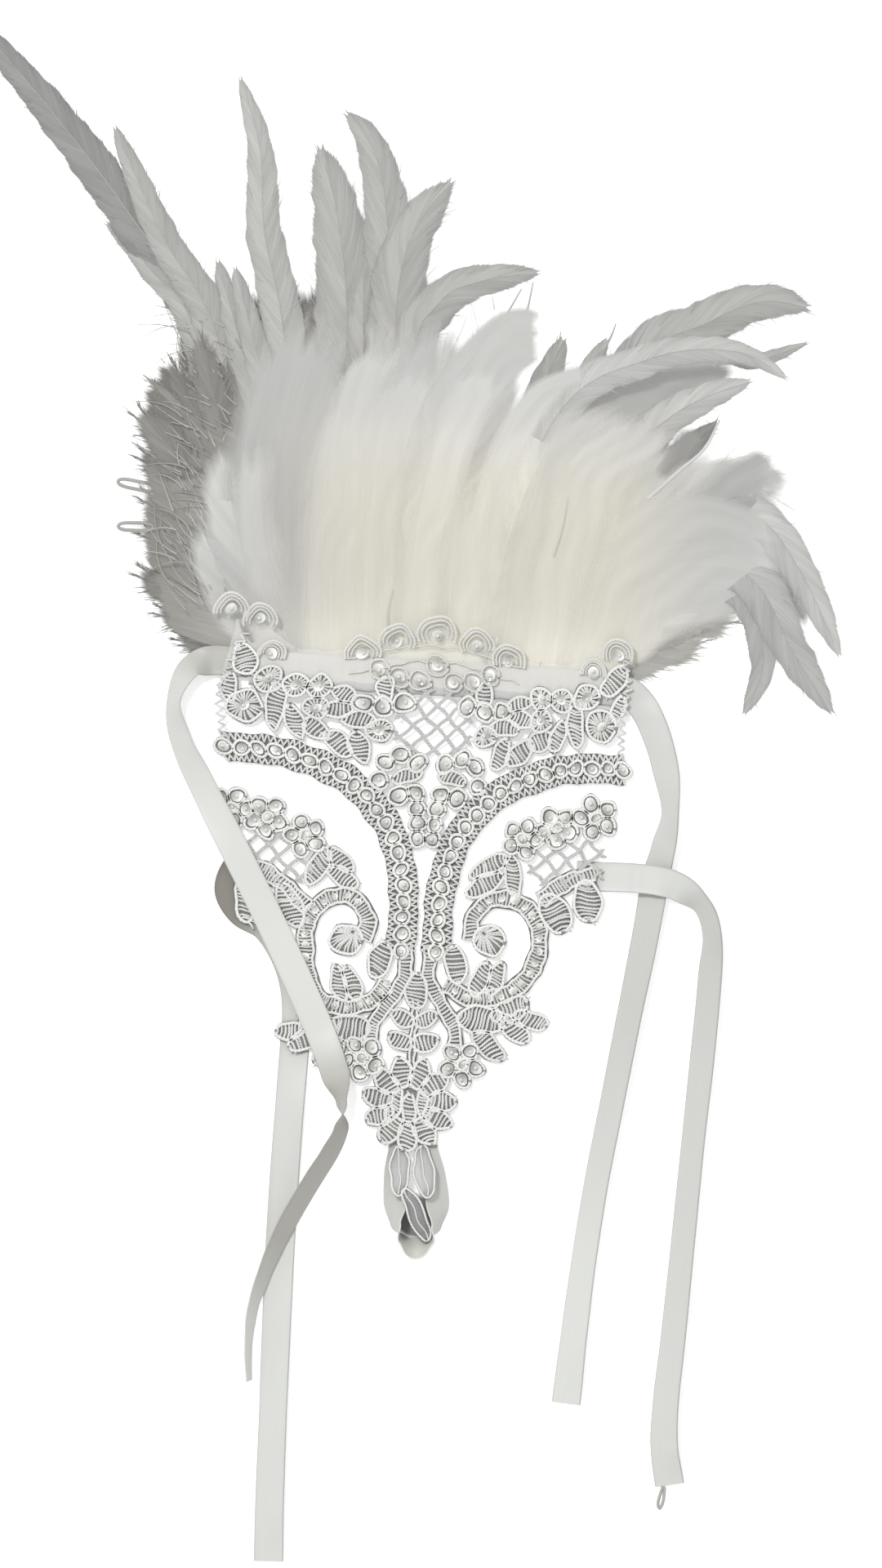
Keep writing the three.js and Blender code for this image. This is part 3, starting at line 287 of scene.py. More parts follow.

# Soft tufts, from the lowest to the topmost: left and right edge from root to end, how far the end bulges out
# between the edges, over how much the end and the sides thin out, share of the dome's height, and lightness,
# which paints light and shade over the dome
TUFT_COLUMNS = ("left", "right", "bulge", "fade", "side", "rise", "light")
SOFT_TUFTS = [
    ([(16, 0), (34, 88), (58, 111), (101, 115)], [(30, 0), (52, 64), (72, 84), (91, 93)],
     0, 5, 6, 0.95, 0.82),
    ([(46, 0), (74, 48), (95, 54), (105, 36), (113, 20)],
     [(52, 0), (84, 56), (110, 68), (127, 46), (130, 22)],
     0, 6, 5, 1.6, 0.82),
    ([(54, 0), (80, 42), (98, 40), (104, 26), (105, 15)],
     [(56, 0), (84, 46), (108, 46), (118, 28), (119, 12)],
     0, 7, 5, 1.6, 0.82),
    ([(48, 0), (66, 48), (84, 72), (103, 87)], [(52, 0), (78, 44), (100, 60), (121, 68)], 4, 5, 7, 1.3, 0.9),
    ([(-64, 2), (-79, 30), (-82, 60), (-76, 94), (-66, 124)], [(-30, 0), (-32, 60), (-30, 100), (-24, 128)],
     5, 22, 14, 1, 0.84),
    ([(-36, 0), (-40, 60), (-38, 100), (-34, 126)], [(-2, 0), (0, 60), (4, 100), (12, 128)],
     3, 20, 12, 1, 0.88),
    ([(-63, 0), (-80, 30), (-81, 58)], [(-40, 0), (-45, 34), (-46, 72)], 7, 24, 16, 1, 1.1),
    ([(-54, 0), (-55, 40), (-51, 72), (-38, 94)], [(-2, 0), (0, 50), (4, 90), (10, 113)], 7, 14, 14, 1, 1.03),
    ([(-16, 0), (-18, 60), (-8, 98), (13, 124), (30, 127)], [(8, 0), (8, 60), (16, 90), (30, 106)],
     0, 3, 4, 1, 0.98),
    ([(0, 0), (8, 62), (22, 97), (46, 110), (74, 118), (98, 119), (113, 107)],
     [(16, 0), (24, 60), (36, 92), (54, 101), (82, 106), (100, 109), (113, 105)], 0, 3, 4, 1, 1.12),
    ([(12, 0), (18, 50), (29, 88), (46, 100)], [(55, 0), (71, 44), (94, 78)], 6, 14, 10, 1, 1.02),
    ([(-44, 0), (-46, 50), (-44, 84), (-36, 104)], [(-22, 0), (-22, 52), (-18, 90), (-6, 112)],
     6, 10, 9, 1, 1.02),
    ([(-62, 0), (-74, 34), (-76, 70)], [(-46, 0), (-52, 40), (-52, 84)], 6, 14, 11, 1, 1.06),
    ([(24, 0), (28, 48), (38, 78), (52, 94)], [(46, 0), (54, 40), (66, 66), (84, 84)], 5, 9, 8, 1, 1.06),
    ([(-10, 0), (-10, 40), (-6, 80)], [(26, 0), (30, 44), (36, 84)], 5, 28, 16, 1, 1.08),
    ([(-18, 0), (-15, 52), (-7, 90), (3, 106)], [(2, 0), (6, 50), (14, 82), (25, 97)], 5, 8, 7, 1, 1.1),
    ([(66, 69), (72, 82), (79, 93)], [(73, 66), (83, 76), (90, 87)], 0, 5, 5, 1.05, 0.62),
    ([(40, 0), (47, 36), (60, 62), (86, 69), (114, 62)], [(62, 0), (80, 14), (102, 22), (117, 28)],
     4, 9, 7, 1.5, 1.08),
]

# The same for the low side feathers, dark as painted shade, and painted darker towards their ends
LOW_TUFTS = [
    ([(-58, 0), (-76, 4), (-91, 9)], [(-60, 16), (-82, 25), (-101, 33)], 3, 5, 3, 0.1, 0.56),
    ([(-60, 12), (-84, 22), (-101, 31)], [(-64, 38), (-86, 47), (-104, 56)], 3, 5, 3, 0.1, 0.5),
    ([(-62, 34), (-86, 44), (-102, 53)], [(-66, 58), (-88, 68), (-104, 77)], 3, 5, 3, 0.1, 0.52),
    ([(-64, 54), (-86, 64), (-105, 75)], [(-66, 76), (-84, 91), (-100, 104)], 5, 5, 3, 0.1, 0.42),
    ([(-66, 70), (-82, 88), (-97, 101)], [(-68, 84), (-78, 108), (-86, 128)], 3, 5, 3, 0.1, 0.37),
    ([(-68, 70), (-76, 102), (-82, 128)], [(-24, 70), (-26, 104), (-28, 134)], 2, 8, 4, 0, 0.46),
]

# Loose wisps at the left edge: ranges of place, lean and length, and their bend, radius and fall
WISPS = {
    "count": 110, "x": (-92, -72), "y": (16, 116), "lean": (105, 165), "length": (10, 24),
    "light": (0.5, 0.8), "bend": (-40, 40), "radius": (0.26, 0.06), "top": 8, "fall": 5, "points": 9,
}

# Height of the tufts above the dome, and how far from the root it is reached; rows and columns of a sheet
TUFT_LIFT = {"first": 0.6, "step": 0.4, "grown": 40.0}
TUFT_GRID = (48, 40)
# A tuft that starts above this line is a feather end, and its root is soft over this length
TUFT_ROOT = {"from": 10, "fade": 6.0}

# Single strands that stand clear: line, height above the dome, radius at the root and at the tip, lightness
STRANDS = [
    ([(68, 63), (78, 73), (86, 81), (90.5, 91)], 12, 0.8, 0.35, 1.1),
    ([(12, 112), (17, 122), (21.5, 131)], 0.5, 0.6, 0.2, 0.8),
    ([(20, 110), (23.6, 123), (25.2, 133.5)], 0.5, 0.7, 0.2, 0.8),
    ([(50, 112), (52.5, 117), (53.9, 121.5)], 0.5, 0.6, 0.2, 0.75),
    ([(60, 113), (63, 119), (65.4, 123.3)], 0.5, 0.6, 0.3, 0.75),
    ([(37.6, 42), (40, 52), (41, 62)], 6.5, 0.25, 0.1, 1.15),
    ([(-17, 14), (-17.4, 20), (-16, 28)], 3.5, 0.25, 0.1, 1.1),
    ([(-92, 86), (-99, 92), (-105, 96)], 0.5, 0.9, 0.2, 0.62),
    ([(-95, 66), (-102, 70), (-107.6, 73)], 0.5, 0.8, 0.2, 0.62),
    ([(-90, 112), (-97, 121), (-103, 128)], 0.5, 0.8, 0.2, 0.62),
]

# Barbs that double back into open loops at the left edge: x and y of the tip, length, width, turn
BARB_LOOPS = [(-111.4, 59.4, 13, 3.4, 172), (-110.4, 44.2, 12, 3.2, 182)]
LOOP_BARB = {"radius": 0.6, "height": 3.0, "light": 0.62, "nip": 0.2}

# The dome of the front row
DOME = {
    "root": 1.6, "height": 41.0, "middle": 5.0, "half_width": 118.0, "start": 12.0, "reach": 68.0,
    "fall": 6.0, "fall_start": 84, "fall_reach": 44, "most_side": 0.75,
}
# Left of this x a strand stands on the low feathers, not on the dome
EDGE_STRANDS = {"x": -80, "height": 4.0}
# Share of cream of each kind of tuft, where it isn't found from its place, and how far painted shade darkens
# its ends
TUFT_LOOK = {"soft": (None, 0.0), "low": (0.5, 0.6)}

# Ribbons: x, y, under, roll
LEFT_UPPER = [
    (-63.6, 0.4, 2.6, 0), (-68, 0.4, 2.6, 0), (-75.5, 0.6, 2.4, 0), (-83, -2, 1.2, 40), (-88, -14, 0, 62),
    (-84.8, -27, 0, 42), (-77.5, -40.5, 0.6, 26), (-63.8, -64, 3.4, 6), (-48, -91.8, 3.4, 0),
    (-33.2, -120, 3.4, 0),
    (-26.1, -136.2, 3.4, 14), (-23, -146.8, 2.6, 70), (-22.6, -155.5, 1.8, 118), (-26, -164, 1.6, 126),
    (-31, -173, 1.6, 128), (-38.2, -187, 1.6, 128), (-42.6, -197, 1.6, 122), (-46.2, -207.5, 1.5, 116),
    (-49, -218.7, 1.5, 110), (-49.7, -232, 0, 102), (-48.8, -243, 0, 98),
]
LEFT_LOWER = [
    (-57, -64, 0, 0), (-63.5, -69.5, 0, 0), (-65.5, -77, 0, 0), (-61, -84, 0, 0), (-52.6, -88.4, 0, 0),
    (-46, -96.8, 0, 0), (-42, -106, 0, 0), (-40.2, -116, 0, 0), (-40.2, -130, 0, 0), (-40.6, -150, 0, 10),
    (-41, -176, 0, 3), (-41, -200, 0, 2), (-40.6, -226, 0, 12), (-40, -256, 0, 18), (-39.4, -284, 0, 12),
    (-38.6, -304, 0, 2),
]
RIGHT_UPPER = [
    (62.8, -1.6, 2.6, 0), (66, -1.8, 2.6, 0), (70.4, -5.4, 1.8, 0), (74.6, -12, 0.6, 14), (79.6, -25, 0, 26),
    (82.6, -42, 0, 56), (81, -54, 0, 36), (79, -65, 0, 20), (76.6, -85, 0, 26), (72.6, -113, 0, 34),
    (68.8, -141, 0, 36), (65, -169, 0, 36), (62.4, -195, 0, 34), (60.6, -220, 0, 28), (59.2, -244.4, 0, 14),
]
RIGHT_LOWER = [
    (52, -65, 0.2, 0), (60, -65, 0.2, 0), (67, -64.8, 1.6, 2), (74, -64.8, 4, 4), (81, -65.4, 5.6, 6),
    (87, -67, 4.6, 18), (95.6, -73, 0, 52), (99.2, -82, 0, 52), (99.4, -97, 0, 38), (98.4, -125, 0, 36),
    (97, -153, 0, 40), (95.6, -187, 0, 38), (94.2, -220, 0, 34), (93, -243, 0, 30), (93.4, -257, 0, 22),
    (96, -270, 0, 8),
]
# The four ties, by where they are sewn
TIES = {
    "left_upper": LEFT_UPPER,
    "left_lower": LEFT_LOWER,
    "right_upper": RIGHT_UPPER,
    "right_lower": RIGHT_LOWER,
}
# x, y, under, roll, share of the width
FINGER_LOOP = [
    (-2.6, -151, 0.2, 0, 0.62), (-2.8, -160, 0.2, 4, 0.66), (-3, -170, 0, 22, 0.9), (-2.8, -179, 0, 36, 1),
    (-2.2, -187, 0, 70, 1), (0.4, -192, 0, 106, 1), (5, -194.4, 0, 142, 1), (9.6, -192, 0, 106, 1),
    (11.6, -187, 0, 72, 1), (11.6, -179, 0, 38, 1), (9.6, -170, 0, 22, 0.9), (7.2, -160, 0.2, 4, 0.66),
    (6.2, -151, 0.2, 0, 0.62),
]

# Thread that has come loose at a ribbon's cut end: x, y
FRAYED = {
    "wrist_ribbon_right_lower": [
        (94.6, -268.6), (93.2, -272.6), (92.4, -276.6), (93.2, -278.2), (94.2, -275.6), (94.4, -271),
    ],
}
# Radius and height of the frayed thread, and its share of the ribbon's darker back colour, partly painted
# shade
FRAYED_THREAD = {"radius": 0.5, "height": 0.6, "dull_and_shade": 0.7}

# Painted shadow: a darker spot of the table inside the loop, without the glow
LOOP_SHADE = {"middle": (4.4, -184.0, 0.0), "fade": 2.0, "start": -3.2}

# Cross-section of a ribbon: place across as a share of half its width, and half thickness
RIBBON_SECTION = [
    (-1, 0.1), (-0.96, 0.3), (-0.9, 0.2), (-0.6, 0.2), (-0.2, 0.2),
    (0.2, 0.2), (0.6, 0.2), (0.9, 0.2), (0.96, 0.3), (1, 0.1),
]
# Share of the width past which the selvedge lies, and points to each span of a route
SELVEDGE_FROM = 0.45
RIBBON_SPAN_POINTS = 10

# Lightness of the right and left selvedge, which on the ties paints a shadow line and on the loop a lighter
# edge, and along each ribbon, by share of its length, how far its darker back shows, which is its duller back
# and painted shade, and its lightness, which paints light and shade along it
RIBBON_LOOKS = {
    "wrist_ribbon_left_upper": {
        "edge": (0.88, 0.88),
        "dull_and_shade": [(0, 0.3), (0.05, 0.6), (0.09, 0.1), (0.56, 0), (0.62, 0.75), (0.82, 0.75), (0.92, 0)],
        "light": [
            (0, 0.95), (0.1, 0.97), (0.25, 1.06), (0.5, 1.04), (0.6, 1.0), (0.88, 1.04), (0.95, 1.18),
            (1, 1.18),
        ],
    },
    "wrist_ribbon_left_lower": {
        "edge": (0.84, 0.7),
        "dull_and_shade": [(0, 1), (0.1, 1), (0.14, 0.3), (0.2, 0.1), (0.3, 0)],
        "light": [(0, 0.62), (0.1, 0.66), (0.16, 0.95), (0.4, 0.97), (1, 1.03)],
    },
    "wrist_ribbon_right_upper": {
        "edge": (0.84, 0.7),
        "dull_and_shade": [(0, 0.1), (0.2, 0.1), (0.3, 0.2), (0.45, 0.25), (0.6, 0.15), (0.8, 0)],
        "light": [(0, 1.02), (0.15, 1.0), (0.3, 0.96), (0.45, 0.96), (0.65, 1.0), (0.85, 1.06), (1, 1.06)],
    },
    "wrist_ribbon_right_lower": {
        "edge": (0.84, 0.7),
        "dull_and_shade": [(0, 0), (0.15, 0), (0.24, 0.2), (0.4, 0.1), (1, 0.05)],
        "light": [(0, 1.02), (0.15, 1.02), (0.26, 0.95), (0.5, 0.99), (1, 1.02)],
    },
    "finger_loop": {
        "edge": (1.2, 1.2),
        "dull_and_shade": [
            (0, 0.5), (0.3, 0.2), (0.42, 0.2), (0.46, 0.55), (0.54, 0.55), (0.58, 0.2), (0.7, 0.15), (1, 0.3),
        ],
        "light": [
            (0, 0.85), (0.3, 0.97), (0.43, 1.0), (0.46, 1.34), (0.54, 1.34), (0.57, 1.0), (0.7, 0.97),
            (1, 0.9),
        ],
    },
}

# Colours of each finish, dark and light; the net's dark greys are painted shade between the stitches
TONES = {
    "net": ((0.2, 0.2, 0.19), (0.42, 0.42, 0.4)),
    "tulle": ((0.84, 0.83, 0.76), (0.92, 0.91, 0.85)),
    "organza": ((0.36, 0.365, 0.36), (0.62, 0.63, 0.62)),
    "sequin": ((0.6, 0.6, 0.58), (0.98, 0.98, 0.94)),
    "bead": ((0.74, 0.74, 0.7), (0.9, 0.9, 0.87)),
    "shaft": ((0.46, 0.45, 0.42), (0.58, 0.57, 0.54)),
    # The table's dark tone is its painted shadow inside the finger loop
    "table": ((0.3, 0.3, 0.3), (0.94, 0.94, 0.94)),
}

# Stage, in metres and degrees
TABLE_SIZE = 6.0
TABLE_GLOW = 0.5
SKY_STRENGTH = 0.62
KEY_LIGHT = {"energy": 16.0, "size": 0.3, "place": (-0.55, 0.6, 1.7), "turn": (-19, -18)}
CAMERA = {"place": (0.0043, -0.03675), "height": 3.0, "lens": 67.5, "sensor": 36.0, "far": 20.0, "turn": 3.4}


def smooth(value):
    """Eases a value from 0 to 1, flat at both ends."""
    value = np.clip(value, 0.0, 1.0)
    return value * value * (3.0 - 2.0 * value)


def unit(vectors):
    """Vectors of length one."""
    return vectors / np.maximum(np.linalg.norm(vectors, axis=-1, keepdims=True), 1e-9)


def joined(*parts):
    """Parts of a place, spread to one shape and put side by side."""
    return np.stack(np.broadcast_arrays(*parts), -1)


def full_turn(count):
    """Angles of a full turn, without the last."""
    return np.linspace(0, 2 * np.pi, count, endpoint=False)


# Meshes


def grid_faces(count, rows, columns, wrap_rows, wrap_columns):
    """Four-cornered faces of equal grids of points; a wrapped direction joins its last line to its first."""
    row, column = np.meshgrid(
        np.arange(rows if wrap_rows else rows - 1),
        np.arange(columns if wrap_columns else columns - 1),
        indexing="ij",
    )
    below, beside = (row + 1) % rows, (column + 1) % columns
    here, next_row = row * columns, below * columns
    face = np.stack([here + column, here + beside, next_row + beside, next_row + column], -1).reshape(-1, 4)
    first = np.arange(count)[:, None, None] * (rows * columns)
    return (first + face).reshape(-1, 4)


class Bundle:
    """Gathers grids of points, with their UV places and three shares, until they become one mesh."""

    def __init__(self):
        self.points, self.faces, self.uv = [], [], []
        self.shares = {"warm": [], "light": [], "cover": []}
        self.size = 0

    def add(
        self, grid, uv=None, warm=0.5, light=1.0, cover=1.0, wrap_rows=False, wrap_columns=False, flip=False
    ):
        """Adds grids of shape (count, rows, columns, 3)."""
        count, rows, columns, _ = grid.shape
        faces = grid_faces(count, rows, columns, wrap_rows, wrap_columns)
        if uv is None:
            uv = joined(np.linspace(0, 1, rows)[:, None], np.linspace(0, 1, columns)[None, :])
        shape = (count, rows, columns)
        self.points.append(grid.reshape(-1, 3))
        self.faces.append((faces[:, ::-1] if flip else faces) + self.size)
        self.uv.append(np.broadcast_to(uv, shape + (2,)).reshape(-1, 2))
        for label, share in (("warm", warm), ("light", light), ("cover", cover)):
            self.shares[label].append(np.broadcast_to(share, shape).reshape(-1))
        self.size += count * rows * columns

    def make(self, name, material, slot):
        """One smooth-shaded mesh object that rides on the cuff."""
        points = np.concatenate(self.points) * MM
        faces = np.concatenate(self.faces).astype(np.int32)
        mesh = bpy.data.meshes.new(name)
        mesh.vertices.add(len(points))
        mesh.vertices.foreach_set("co", points.astype(np.float32).ravel())
        mesh.loops.add(faces.size)
        mesh.loops.foreach_set("vertex_index", faces.ravel())
        mesh.polygons.add(len(faces))
        mesh.polygons.foreach_set("loop_start", np.arange(0, faces.size, 4, dtype=np.int32))
        mesh.polygons.foreach_set("use_smooth", np.ones(len(faces), dtype=bool))
        layer = mesh.uv_layers.new(name="UVMap")
        layer.data.foreach_set("uv", np.concatenate(self.uv)[faces.ravel()].astype(np.float32).ravel())
        for label, values in self.shares.items():
            share = mesh.attributes.new(label, "FLOAT", "POINT")
            share.data.foreach_set("value", np.concatenate(values).astype(np.float32))
        mesh.update(calc_edges=True)
        mesh.materials.append(material)
        piece = bpy.data.objects.new(name, mesh)
        bpy.context.scene.collection.objects.link(piece)
        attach(piece, "root")
        return piece


def path_length(path):
    """Running length along paths of shape (count, points, 3), from 0 at the first point."""
    steps = np.linalg.norm(np.diff(path, axis=1), axis=-1)
    return np.concatenate([np.zeros((len(path), 1)), np.cumsum(steps, axis=1)], axis=1)


def add_tubes(bundle, path, radius, sides, flat=1.0, closed=False, warm=0.5, light=1.0):
    """Tubes: a ring of points about each path point, across the path; flat squeezes the ring's height."""
    ahead = np.roll(path, -1, 1) - np.roll(path, 1, 1) if closed else np.gradient(path, axis=1)
    ahead = unit(ahead)
    side = unit(np.cross(UP, ahead))
    up = np.cross(ahead, side)
    turn = full_turn(sides)
    ring = np.cos(turn)[:, None] * side[:, :, None] + flat * np.sin(turn)[:, None] * up[:, :, None]
    radius = np.broadcast_to(radius, path.shape[:2])
    along = path_length(path)[:, :, None]
    uv = joined(along, np.linspace(0, 1, sides)[None, None, :])
    grid = path[:, :, None] + radius[:, :, None, None] * ring
    shares = [np.asarray(share, dtype=float) for share in (warm, light)]
    shares = [share[:, None, None] if share.ndim == 1 else share for share in shares]
    bundle.add(grid, uv, shares[0], shares[1], wrap_rows=closed, wrap_columns=True)


# Lines


def cubic(a, b, slope_a, slope_b, t):
    """Cubic from a to b with given slopes at both, for each t from 0 to 1; spans follow one another."""
    curve = (2 * a - 2 * b + slope_a + slope_b) * t**3 + (3 * b - 3 * a - 2 * slope_a - slope_b) * t**2
    return (curve + slope_a * t + a).transpose(1, 0, 2).reshape(-1, 2)


def spline(points, per_span=12):
    """Smooth flat line through points: cubics whose slopes are half the chord of the neighbours."""
    p = np.asarray(points, dtype=float)
    before = np.concatenate([p[:1], p[:-2]])
    after = np.concatenate([p[2:], p[-1:]])
    t = np.linspace(0, 1, per_span, endpoint=False)[:, None, None]
    a, b = p[:-1], p[1:]
    return np.concatenate([cubic(a, b, (b - before) / 2, (after - a) / 2, t), p[-1:]])


def on_side(way, line):
    """The smooth line through points that are given for the right half, on one side."""
    return spline([(way * x, y) for x, y in line])


def stations(line, pitch):
    """Points at an even pitch along a flat line, with the unit direction and the left side at each."""
    run = path_length(line[None])[0]
    count = max(2, int(round(run[-1] / pitch)) + 1)
    at = np.linspace(0, run[-1], count)
    point = np.stack([np.interp(at, run, line[:, i]) for i in range(2)], -1)
    ahead = unit(np.gradient(point, axis=0))
    return at, point, ahead, np.stack([-ahead[:, 1], ahead[:, 0]], -1)


# Materials


def node_group(name, inputs, outputs):
    """An empty shader node group with named sockets."""
    group = bpy.data.node_groups.new(name, "ShaderNodeTree")
    for label, kind, value in inputs:
        socket = group.interface.new_socket(label, in_out="INPUT", socket_type=kind)
        if value is not None:
            socket.default_value = value
    for label, kind in outputs:
        group.interface.new_socket(label, in_out="OUTPUT", socket_type=kind)
    return group, group.nodes.new("NodeGroupInput"), group.nodes.new("NodeGroupOutput")


def math_node(tree, operation, first, second=None, third=None):
    """A Math node; each operand is a socket or a number."""
    node = tree.nodes.new("ShaderNodeMath")
    node.operation = operation
    for i, operand in enumerate((first, second, third)):
        if operand is None:
            continue
        if isinstance(operand, (int, float)):
            node.inputs[i].default_value = operand
        else:
            tree.links.new(operand, node.inputs[i])
    return node.outputs[0]


def yarn_twist_group():
    """Ridge of twisted yarn: a sine of the place along the yarn plus the place around it."""
    inputs = [("Vector", "NodeSocketVector", None), ("Pitch", "NodeSocketFloat", 1.2)]
    group, given, result = node_group("yarn_twist", inputs, [("Ridge", "NodeSocketFloat")])
    parts = group.nodes.new("ShaderNodeSeparateXYZ")
    group.links.new(given.outputs["Vector"], parts.inputs[0])
    along = math_node(group, "DIVIDE", parts.outputs["X"], given.outputs["Pitch"])
    turn = math_node(group, "MULTIPLY", math_node(group, "ADD", along, parts.outputs["Y"]), 2 * math.pi)
    wave = math_node(group, "SINE", turn)
    group.links.new(math_node(group, "MULTIPLY_ADD", wave, 0.5, 0.5), result.inputs["Ridge"])
    return group


def streaks_group():
    """Soft streaks: noise drawn out along one direction of the surface."""
    inputs = [
        ("Vector", "NodeSocketVector", None),
        ("Along", "NodeSocketFloat", 0.1),
        ("Across", "NodeSocketFloat", 4.0),
    ]
    group, given, result = node_group("streaks", inputs, [("Streak", "NodeSocketFloat")])
    scale = group.nodes.new("ShaderNodeCombineXYZ")
    group.links.new(given.outputs["Along"], scale.inputs["X"])
    group.links.new(given.outputs["Across"], scale.inputs["Y"])
    product = group.nodes.new("ShaderNodeVectorMath")
    product.operation = "MULTIPLY"
    group.links.new(given.outputs["Vector"], product.inputs[0])
    group.links.new(scale.outputs[0], product.inputs[1])
    noise = group.nodes.new("ShaderNodeTexNoise")
    noise.inputs["Scale"].default_value = 1.0
    noise.inputs["Detail"].default_value = 3.0
    group.links.new(product.outputs[0], noise.inputs["Vector"])
    group.links.new(noise.outputs["Fac"], result.inputs["Streak"])
    return group


def net_group():
    """Fine crossed net: the greater of two sines of place, one across the other."""
    inputs = [("Vector", "NodeSocketVector", None), ("Cells per mm", "NodeSocketFloat", 1.2)]
    group, given, result = node_group("fine_net", inputs, [("Thread", "NodeSocketFloat")])
    parts = group.nodes.new("ShaderNodeSeparateXYZ")
    group.links.new(given.outputs["Vector"], parts.inputs[0])
    scale = math_node(group, "MULTIPLY", given.outputs["Cells per mm"], math.pi / MM)
    waves = []
    for operation in ("ADD", "SUBTRACT"):
        slant = math_node(group, operation, parts.outputs["X"], parts.outputs["Y"])
        wave = math_node(group, "SINE", math_node(group, "MULTIPLY", slant, scale))
        waves.append(math_node(group, "ABSOLUTE", wave))
    thin = math_node(group, "SUBTRACT", 1.0, math_node(group, "MINIMUM", *waves))
    group.links.new(math_node(group, "POWER", thin, 2.0), result.inputs["Thread"])
    return group


GROUPS = {"twist": yarn_twist_group(), "streaks": streaks_group(), "net": net_group()}


class Finish:
    """A material with one Principled shader, and short ways to place groups and mixes in it."""

    def __init__(self, name, **sockets):
        self.material = bpy.data.materials.new(name)
        self.material.use_nodes = True
        self.tree = self.material.node_tree
        self.shader = self.tree.nodes["Principled BSDF"]
        for label, value in sockets.items():
            self.shader.inputs[label.replace("_", " ")].default_value = value

    def place(self, kind):
        """The UV place in millimetres, or the object place in metres."""
        node = self.tree.nodes.new("ShaderNodeTexCoord")
        return node.outputs[kind]

    def share(self, name):
        """A share stored on the mesh's points."""
        node = self.tree.nodes.new("ShaderNodeAttribute")
        node.attribute_name = name
        return node.outputs["Fac"]

    def group(self, kind, vector, **values):
        """Places a node group, and returns its one output."""
        node = self.tree.nodes.new("ShaderNodeGroup")
        node.node_tree = GROUPS[kind]
        self.tree.links.new(vector, node.inputs["Vector"])
        for label, value in values.items():
            node.inputs[label.replace("_", " ")].default_value = value
        return node.outputs[0]

    def mix(self, share, low, high):
        """A colour between two colours; each is a socket or three numbers."""
        node = self.tree.nodes.new("ShaderNodeMix")
        node.data_type = "RGBA"
        self.tree.links.new(share, node.inputs["Factor"])
        for label, colour in (("A", low), ("B", high)):
            socket = next(s for s in node.inputs if s.name == label and s.type == "RGBA")
            if isinstance(colour, tuple):
                socket.default_value = (*colour, 1.0)
            else:
                self.tree.links.new(colour, socket)
        return next(s for s in node.outputs if s.type == "RGBA")

    def scaled(self, colour, share):
        """A colour darkened by a share."""
        node = self.tree.nodes.new("ShaderNodeVectorMath")
        node.operation = "SCALE"
        self.tree.links.new(colour, node.inputs[0])
        self.tree.links.new(share, node.inputs["Scale"])
        return node.outputs[0]

    def sheer(self, alpha, clear):
        """Alpha as the eye sees it; clear is the share of light that gets through to what lies below."""
        path = self.tree.nodes.new("ShaderNodeLightPath")
        lit = math_node(self.tree, "MAXIMUM", path.outputs["Is Shadow Ray"], path.outputs["Is Diffuse Ray"])
        dense = math_node(self.tree, "MULTIPLY_ADD", lit, -clear, 1.0)
        self.tree.links.new(math_node(self.tree, "MULTIPLY", alpha, dense), self.shader.inputs["Alpha"])

    def colour(self, socket):
        self.tree.links.new(socket, self.shader.inputs["Base Color"])

    def shaded(self, share, low, high):
        """Base colour between two colours, darkened by the mesh's own share."""
        self.colour(self.scaled(self.mix(share, low, high), self.share("light")))

    def rough(self, share, low, high):
        """Roughness between two values."""
        span = math_node(self.tree, "MULTIPLY_ADD", share, high - low, low)
        self.tree.links.new(span, self.shader.inputs["Roughness"])

    def bump(self, height, distance, strength=1.0):
        node = self.tree.nodes.new("ShaderNodeBump")
        node.inputs["Distance"].default_value = distance * MM
        node.inputs["Strength"].default_value = strength
        self.tree.links.new(height, node.inputs["Height"])
        self.tree.links.new(node.outputs[0], self.shader.inputs["Normal"])


def thread_finish(name, low, high, pitch, alpha=1.0):
    """White yarn: lighter on the twist's ridges, and a little different from stitch to stitch."""
    finish = Finish(name, Roughness=0.5, Sheen_Weight=0.15, Alpha=alpha)
    ridge = finish.group("twist", finish.place("UV"), Pitch=pitch)
    finish.shaded(ridge, low, high)
    finish.rough(ridge, 0.62, 0.42)
    finish.bump(ridge, 0.12)
    return finish.material


def patterned_finish(name, kind, place, values, tones, relief=0.0, **sockets):
    """A finish between its two tones by a pattern, darkened by the mesh's own share, with some relief."""
    finish = Finish(name, **sockets)
    pattern = finish.group(kind, finish.place(place), **values)
    finish.shaded(pattern, *TONES[tones])
    if relief:
        finish.bump(pattern, relief)
    return finish.material


def tulle_finish():
    """Sheer tulle: a fine net that lets what lies under it through."""
    finish = Finish("tulle", Roughness=0.6)
    thread = finish.group("net", finish.place("Object"), Cells_per_mm=1.4)
    finish.colour(finish.mix(thread, *TONES["tulle"]))
    alpha = math_node(finish.tree, "MULTIPLY_ADD", thread, 0.2, 0.35)
    finish.sheer(alpha, 0.9)
    return finish.material


